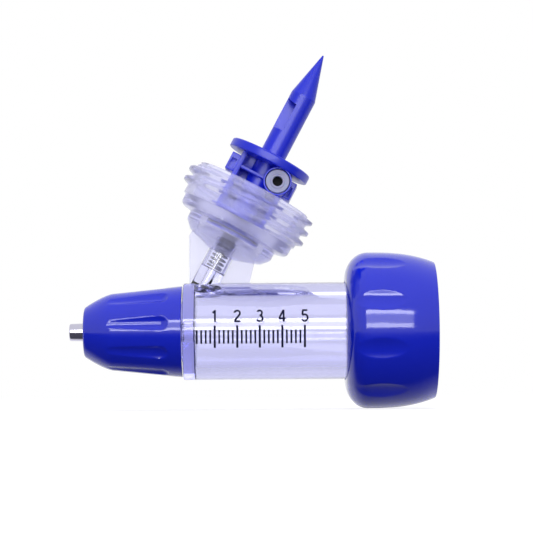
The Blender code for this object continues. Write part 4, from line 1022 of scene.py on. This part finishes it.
# %% Print the scale
scale = bmesh.new()
for fifth in range(1, 26):
    along = ZERO_MARK + ML * fifth / 5
    if fifth % 5 == 0:
        stroke(scale, along, LONG_WIDTH, STROKE_TOP, STROKE_FOOT)
        for corners in NUMERALS[str(fifth // 5)]:
            pen_line(scale, along, corners)
    else:
        stroke(scale, along, SHORT_WIDTH, SHORT_TOP, SHORT_FOOT)
bmesh.ops.recalc_face_normals(scale, faces=scale.faces)
scale.transform(BARREL)
printed = object_of("printed_dose_scale", scale, INK)
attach(printed, "head")
print("scale:", len(printed.data.polygons), "faces, one millilitre is", ML, "mm")

# %% [markdown]
# ## The bottle spike
# The spike is the most open of the blue mouldings: a plug that seals in the cup's floor, a
# small cage with two snap lugs round the column that carries both bores, a vent boss, the
# flange that the stopper rests on and a point with a mouth cut in its side. The mouth's floor
# runs a little deeper towards the point. It is put together as its mould was cut: round
# parts swept, straight parts as blocks with bevelled edges, all joined, and then the bores,
# the mouth and the lugs' recesses taken out. The vent's mouth is in the boss's own profile.

# %% Blocks, rods and hulls
SOFT_EDGE = 0.12


def block(low, high, bevel=SOFT_EDGE):
    """A block between two corners with softened edges."""
    form = bmesh.new()
    bmesh.ops.create_cube(form, size=1.0)
    size = Vector(high) - Vector(low)
    bmesh.ops.scale(form, vec=size, verts=form.verts)
    bmesh.ops.translate(form, vec=(Vector(high) + Vector(low)) / 2, verts=form.verts)
    if bevel:
        bmesh.ops.bevel(form, geom=form.edges[:], offset=bevel, segments=2, profile=0.5,
                        affect="EDGES")
    return form


def rod(radius, start, end, sides=48, outline=None):
    """A round bar between two points."""
    start, end = Vector(start), Vector(end)
    length = (end - start).length
    outline = outline or [(0.0, 0.0), (0.0, radius), (length, radius), (length, 0.0)]
    turn = (end - start).to_track_quat("Z", "Y").to_matrix().to_4x4()
    return moved(swept(outline, sides), Matrix.Translation(start) @ turn)


def hull(corners):
    """The convex solid round a few corners."""
    form = bmesh.new()
    for corner in corners:
        form.verts.new(corner)
    bmesh.ops.convex_hull(form, input=form.verts)
    bmesh.ops.recalc_face_normals(form, faces=form.faces)
    return form


trial = block((0.0, 0.0, 0.0), (1.0, 1.0, 1.0))
print("a block with soft edges has", len(trial.faces), "faces")
trial.free()

# %% The spike's sizes
PLUG_FOOT = 23.9
PLUG_RADIUS = 6.15
PLUG_TOP = 26.2
PLUG_HOLLOW, PLUG_HOLLOW_TOP = 3.1, 24.9
NECK_OF_PLUG = 3.2
RING_MIDDLE = PLUG_FOOT + 1.15
RING_SECTION = 0.8
RING_GROOVE_HALF = 0.7
CAGE_FLOOR = 27.8
CAGE_TOP = 28.9
CAGE_RADIUS = 7.2
FLANGE_FOOT = 41.4
FLANGE_TOP = 43.4
FLANGE_RADIUS = 9.45
SHAFT_RADIUS = 2.88
SHAFT_TOP = 58.5
POINT = 68.7
POST = 5.4
POST_DEPTH = 3.8
POST_HALF = 0.55
WALL_HALF = 0.3
PANEL_HALF = 0.5
RAIL_FOOT, RAIL_TOP = 37.85, 38.55
LUG_INSIDE, LUG_OUTSIDE, LUG_HALF = 5.7, 7.9, 4.05
LUG_FOOT, LUG_TOP = 36.3, 40.3
# Each lug's two recesses, as ranges of depth, of width and along the port.
RECESS_DEPTH, RECESS_WIDTH, RECESS_ALONG = (3.45, 5.0), (6.25, 7.5), (36.75, 39.1)
FLOOR_INSIDE, FLANGE_INSIDE = 28.4, 42.4
LIQUID, LIQUID_RADIUS, LIQUID_TOP = (-1.8, -0.7), 0.55, 49.7
AIR, AIR_RADIUS, AIR_TOP = (1.0, 0.9), 0.45, 46.2
AIR_NOTCH_FOOT, AIR_NOTCH_TOP = 45.2, 48.2
# Side cuts reach this far, well past the shaft's skin.
BEYOND = 6.0
VENT = (3.9, 38.6)
VENT_RADIUS = 3.1
VENT_FRONT = -7.6
VENT_MOUTH = 2.75
VENT_LENGTH = 10.2
VENT_BORE = 0.9
POINT_LEAN = 0.38
MOUTH_EDGE = -0.45
MOUTH_FOOT, MOUTH_TOP = 49.5, 57.2
MOUTH_FLOOR_FOOT, MOUTH_FLOOR_TOP = -0.55, 0.33
MOUTH_LIP = 56.1
print("spike:", round(POINT - PLUG_FOOT, 2), "mm from its foot to its point")

# %% The spike's plug, flange and shaft
ring_groove = PLUG_RADIUS - RING_SECTION - 0.3
foot = rounded([
    (PLUG_FOOT, PLUG_HOLLOW, 0.1), (PLUG_FOOT, PLUG_RADIUS, 0.15),
    (RING_MIDDLE - RING_GROOVE_HALF, PLUG_RADIUS, 0.1),
    (RING_MIDDLE - RING_GROOVE_HALF, ring_groove, 0.1),
    (RING_MIDDLE + RING_GROOVE_HALF, ring_groove, 0.1),
    (RING_MIDDLE + RING_GROOVE_HALF, PLUG_RADIUS, 0.1),
    (PLUG_TOP, PLUG_RADIUS, 0.2), (PLUG_TOP, NECK_OF_PLUG, 0.3),
    (CAGE_FLOOR, NECK_OF_PLUG, 0.3), (CAGE_FLOOR, CAGE_RADIUS, 0.2),
    (CAGE_TOP, CAGE_RADIUS, 0.2), (CAGE_TOP, 0.0, 0.0),
    (PLUG_HOLLOW_TOP, 0.0, 0.0), (PLUG_HOLLOW_TOP, PLUG_HOLLOW, 0.1)], 4)
head = rounded([
    (FLANGE_FOOT, 0.0, 0.0), (FLANGE_FOOT, FLANGE_RADIUS, 0.3),
    (FLANGE_TOP, FLANGE_RADIUS, 0.45),
    (FLANGE_TOP, SHAFT_RADIUS, 0.35), (SHAFT_TOP, SHAFT_RADIUS, 0.8), (POINT, 0.15, 0.12),
    (POINT, 0.0, 0.0)], 6)
print("profiles of", len(foot), "and", len(head), "points")

# %% The cage, its lugs and walls, and the vent boss
parts = []
for side in (-1, 1):
    for face in (-1, 1):
        parts.append(block(
            (side * POST - POST_HALF, face * POST_DEPTH - POST_HALF, FLOOR_INSIDE),
            (side * POST + POST_HALF, face * POST_DEPTH + POST_HALF, FLANGE_INSIDE)))
    near, far = sorted((LUG_INSIDE * side, LUG_OUTSIDE * side))
    parts.append(block((near, -LUG_HALF, LUG_FOOT), (far, LUG_HALF, LUG_TOP), 0.15))
for face in (-1, 1):
    parts.append(block((-POST, face * POST_DEPTH - WALL_HALF, RAIL_FOOT),
                       (POST, face * POST_DEPTH + WALL_HALF, RAIL_TOP), 0.1))
parts.append(rod(SHAFT_RADIUS, (0.0, 0.0, FLOOR_INSIDE), (0.0, 0.0, FLANGE_INSIDE), 96))
parts.append(block((-POST - 0.5, -PANEL_HALF, 38.2), (0.0, PANEL_HALF, FLANGE_INSIDE), 0.1))
parts.append(block((-POST, POST_DEPTH - WALL_HALF, FLOOR_INSIDE),
                   (POST, POST_DEPTH + WALL_HALF, FLANGE_INSIDE), 0.1))
boss = rounded([(4.1, 0.0, 0.0), (4.1, 1.45, 0.0), (1.9, 1.45, 0.1), (1.9, VENT_MOUTH, 0.1),
                (0.0, VENT_MOUTH, 0.08), (0.0, VENT_RADIUS, 0.12),
                (VENT_LENGTH, VENT_RADIUS, 0.2), (VENT_LENGTH, 0.0, 0.0)])
parts.append(rod(VENT_RADIUS, (VENT[0], VENT_FRONT, VENT[1]), (VENT[0], 2.6, VENT[1]), 72, boss))
head = swept(head, 96)
for vert in head.verts:
    vert.co.x -= POINT_LEAN * max(0.0, (vert.co.z - SHAFT_TOP) / (POINT - SHAFT_TOP))
parts.append(head)
print(len(parts), "forms to join to the plug")

# %% The bores, the mouth and the lugs' recesses
cuts = [rod(LIQUID_RADIUS, (*LIQUID, 24.0), (*LIQUID, LIQUID_TOP), 32),
        rod(AIR_RADIUS, (*AIR, VENT[1]), (*AIR, AIR_TOP), 32),
        hull([(across, depth, along) for across in (-BEYOND, MOUTH_EDGE)
              for depth, along in ((-BEYOND, MOUTH_FOOT), (MOUTH_FLOOR_FOOT, MOUTH_FOOT),
                                   (MOUTH_FLOOR_TOP, MOUTH_TOP), (-BEYOND, MOUTH_LIP - 1.3))]),
        block((0.2, 0.2, AIR_NOTCH_FOOT), (BEYOND, BEYOND, AIR_NOTCH_TOP), 0.0)]
for side in (-1, 1):
    for face in (-1, 1):
        depth = sorted(face * reach for reach in RECESS_DEPTH)
        across = sorted(side * reach for reach in RECESS_WIDTH)
        cuts.append(block((across[0], depth[0], RECESS_ALONG[0]),
                          (across[1], depth[1], RECESS_ALONG[1]), 0.1))
cuts.append(rod(VENT_BORE, (VENT[0], VENT_FRONT + 3.9, VENT[1]), (VENT[0], 1.6, VENT[1]), 40))
cuts.append(rod(AIR_RADIUS, (*AIR, VENT[1]), (VENT[0], AIR[1], VENT[1]), 32))
print(len(cuts), "forms to cut away")

# %% Make the bottle spike
spike = combined(swept(foot, 96), [("UNION", part) for part in parts]
                 + [("DIFFERENCE", part) for part in cuts])
piece("blue_bottle_spike", spike, PORT, SATIN_NYLON, "head", "bottle_spike", 30)

# %% [markdown]
# ## Seals, the vent and the small turned parts
# These are all plain rounds, so each is one profile. The O-rings stay true circles in
# section. The milky vent ring has a raised lip round its hole, and the luer tip has its real
# taper of six in a hundred, a rounded mouth and a bright plate.

# %% O-rings, washers and the vent
def o_ring(middle, radius, section, sides=20):
    """The outline of a ring with a round section."""
    return [(middle + section / 2 * math.cos(2 * math.pi * step / sides),
             radius + section / 2 * math.sin(2 * math.pi * step / sides))
            for step in range(sides)]


def band(front, rear, inner, outer, edge=0.1):
    """The outline of a flat ring with softened edges."""
    return rounded([(front, inner, edge), (front, outer, edge), (rear, outer, edge),
                    (rear, inner, edge)])


vent_axis = (PORT @ Matrix.Translation((VENT[0], VENT_FRONT, VENT[1]))
             @ Matrix.Rotation(math.radians(-90.0), 4, "X"))
lip = rounded([(0.0, 1.1, 0.12), (0.0, 1.5, 0.1), (0.12, 1.62, 0.08), (0.12, 2.45, 0.15),
               (0.3, 2.6, 0.1), (1.6, 2.6, 0.1), (1.6, 1.1, 0.1)])
plug = rounded([(2.2, 0.0, 0.0), (2.2, 1.3, 0.15), (3.8, 1.3, 0.15), (3.8, 0.0, 0.0)])
for name, outline, sides, axis, material, body, node in (
        ("black_spike_ring", o_ring(RING_MIDDLE, PLUG_RADIUS - 0.4, RING_SECTION), 96, PORT,
         NITRILE, "head", "spike_o_ring"),
        ("black_tip_washer", band(-14.8, -13.8, 4.0, 5.8), 96, BARREL, NITRILE, "nose",
         "tip_washer"),
        ("black_rear_gasket", band(41.3, 42.3, 8.6, 10.6, 0.15), 120, BARREL, NITRILE, "head",
         "rear_gasket"),
        ("milky_inlet_seat", band(23.9, 24.6, 0.8, 2.8), 64, PORT, SILICONE, "head",
         "inlet_seat"),
        ("milky_vent_valve", lip, 96, vent_axis, SILICONE, "head", "vent_valve"),
        ("foam_vent_filter", plug, 48, vent_axis, FOAM_DARK_AS_PAINTED_SHADE, "head", "vent_filter")):
    piece(name, swept(outline, sides), axis, material, body, node)

# %% The luer tip and the outlet valve
tip = rounded([
    (-25.45, 1.0, 0.15), (-25.45, 1.88, 0.3), (-17.2, 2.13, 0.0), (-17.2, 6.2, 0.15),
    (-15.1, 6.2, 0.15), (-15.1, 3.7, 0.2), (-10.9, 3.7, 0.3), (-10.9, 2.6, 0.2),
    (-13.9, 2.6, 0.1), (-13.9, 1.0, 0.1)])
valve = rounded([(-9.5, 0.0, 0.0), (-9.5, 1.3, 0.25), (-6.9, 1.3, 0.15), (-6.9, 2.9, 0.15),
                 (-5.7, 2.9, 0.15), (-5.7, 0.0, 0.0)])
seal = rounded([(-5.4, 0.0, 0.0), (-5.4, 2.6, 0.12), (-4.5, 2.6, 0.12), (-4.5, 0.0, 0.0)])
poppet = rounded([(19.8, 0.0, 0.0), (19.8, 0.9, 0.3), (22.6, 0.9, 0.15), (22.6, 1.8, 0.12),
                  (23.6, 1.8, 0.12), (23.6, 0.0, 0.0)])
for name, outline, sides, axis, material, body in (
        ("plated_luer_tip", stepped(tip, 0.8), 96, BARREL, PLATED_BRASS, "nose"),
        ("acetal_outlet_valve", valve, 72, BARREL, ACETAL, "outlet_valve"),
        ("black_outlet_seal", seal, 72, BARREL, NITRILE, "outlet_valve"),
        ("black_inlet_valve", poppet, 64, PORT, NITRILE, "inlet_valve")):
    piece(name, swept(outline, sides), axis, material, body, name.split("_", 1)[1])

# %% [markdown]
# ## The piston
# The piston sits at the rear of the bore, mostly inside the coupling nut. It is white acetal
# with two O-rings, and a threaded brass insert takes the rod from the handle.

# %% Make the piston
PISTON_FRONT, PISTON_REAR = 35.4, 44.0
PISTON_RADIUS = 7.7
PISTON_GROOVE, GROOVE_HALF = 6.35, 0.9
POCKET, POCKET_FRONT = 3.4, 39.1
RING_LINE, RING_WIRE = 7.25, 1.2
front_ring, rear_ring = 37.9, 41.5
body = [(PISTON_FRONT, 0.0, 0.0), (PISTON_FRONT, PISTON_RADIUS, 0.5)]
for middle in (front_ring, rear_ring):
    body += [(middle - GROOVE_HALF, PISTON_RADIUS, 0.15),
             (middle - GROOVE_HALF, PISTON_GROOVE, 0.15),
             (middle + GROOVE_HALF, PISTON_GROOVE, 0.15),
             (middle + GROOVE_HALF, PISTON_RADIUS, 0.15)]
body += [(PISTON_REAR, PISTON_RADIUS, 0.4), (PISTON_REAR, POCKET, 0.2),
         (POCKET_FRONT, POCKET, 0.1), (POCKET_FRONT, 0.0, 0.0)]
piece("acetal_piston", swept(rounded(body), 120), BARREL, ACETAL, "piston", "piston_body")
for name, node, middle in (("black_front_ring", "piston_ring_front", front_ring),
                           ("black_rear_ring", "piston_ring_rear", rear_ring)):
    piece(name, swept(o_ring(middle, RING_LINE, RING_WIRE), 120), BARREL, NITRILE, "piston", node)


INSERT_FRONT, INSERT_RADIUS = 39.4, 3.1
INSERT_BORE = 1.9
INSERT_ROOT = 2.15
INSERT_THREAD = (39.9, 0.7, 5.0, 0.0, 0.65, 0.1)
INSERT_THREAD_HEIGHT = 0.3


def insert_skin(along, radius, angle):
    """The fine thread inside the brass insert."""
    if abs(radius - INSERT_BORE) < 0.01 and 39.7 < along < 43.7:
        return INSERT_ROOT - INSERT_THREAD_HEIGHT * ridge(along, angle, *INSERT_THREAD)
    return radius


insert = stepped(rounded([
    (INSERT_FRONT, INSERT_BORE, 0.15), (INSERT_FRONT, INSERT_RADIUS, 0.1),
    (PISTON_REAR, INSERT_RADIUS, 0.2), (PISTON_REAR, INSERT_BORE, 0.3)]), 0.12, 39.5, 43.8)
piece("brass_piston_insert", swept(insert, 72, insert_skin), BARREL, TURNED_BRASS,
      "piston", "piston_insert")

# %% [markdown]
# ## Springs and the snap ring
# A compression spring is a wire swept along a helix whose last turns lie flat. It shortens when
# its valve opens. A curve with a bevel would do, but here it is built as a mesh of small rings
# that stay square to the wire. The snap ring is flat strip bent almost into a circle, with its
# opening at the bottom.

# %% Wire and strip
def wire_form(points, radius, sides=12):
    """A closed tube along a line of points, with its rings kept from twisting."""
    form = bmesh.new()
    rings = []
    normal = Vector((1.0, 0.0, 0.0))
    for number, point in enumerate(points):
        before = points[max(number - 1, 0)]
        after = points[min(number + 1, len(points) - 1)]
        tangent = (after - before).normalized()
        normal = (normal - tangent * normal.dot(tangent)).normalized()
        side = tangent.cross(normal)
        rings.append([form.verts.new(point + (normal * math.cos(turn) + side * math.sin(turn))
                                     * radius)
                      for turn in (2 * math.pi * step / sides for step in range(sides))])
    return joined(form, rings)


def coil(radius, wire, start, end, turns, closed=0.9):
    """The middle line of a compression spring with flat ends, ground to its seats."""
    low, high = start + wire / 2, end - wire / 2
    rise = (high - low - 2 * closed * wire) / (turns - 2 * closed)
    points = []
    per_turn = 36
    for step in range(round(turns * per_turn) + 1):
        turn = step / per_turn
        along = low + wire * min(turn, closed) + wire * max(0.0, turn - turns + closed)
        along += rise * max(0.0, min(turn, turns - closed) - closed)
        angle = 2 * math.pi * turn
        points.append(Vector((radius * math.cos(angle), radius * math.sin(angle), along)))
    return points


print("a coil of four turns has", len(coil(1.0, 0.2, 0.0, 5.0, 4.0)), "points")

# %% Make the springs and the snap ring
SNAP_OPENING, SNAP_MIDDLE = 3.0, 11.2
SNAP_STEPS = 132
spring = piece("steel_outlet_spring", wire_form(coil(1.95, 0.44, -13.6, -7.2, 6.0), 0.22),
               BARREL, SPRING_WIRE, "nose", "outlet_spring", 60)
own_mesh(spring)
spring = piece("steel_inlet_spring", wire_form(coil(1.65, 0.4, 15.5, 22.3, 8.0), 0.2),
               PORT, SPRING_WIRE, "head", "inlet_spring", 60)
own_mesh(spring)

strip = bmesh.new()
rings = []
half_opening = math.asin(SNAP_OPENING / 2 / SNAP_MIDDLE)
section = rounded([(38.6, 9.9, 0.08), (38.6, 12.6, 0.12), (39.4, 12.6, 0.12),
                   (39.4, 9.9, 0.08)], 3)
for step in range(SNAP_STEPS + 1):
    turn = half_opening + (2 * math.pi - 2 * half_opening) * step / SNAP_STEPS
    rings.append([strip.verts.new((radius * math.cos(turn), radius * math.sin(turn), along))
                  for along, radius in section])
piece("steel_split_ring", joined(strip, rings), BARREL, FLAT_STEEL, "head", "split_ring")
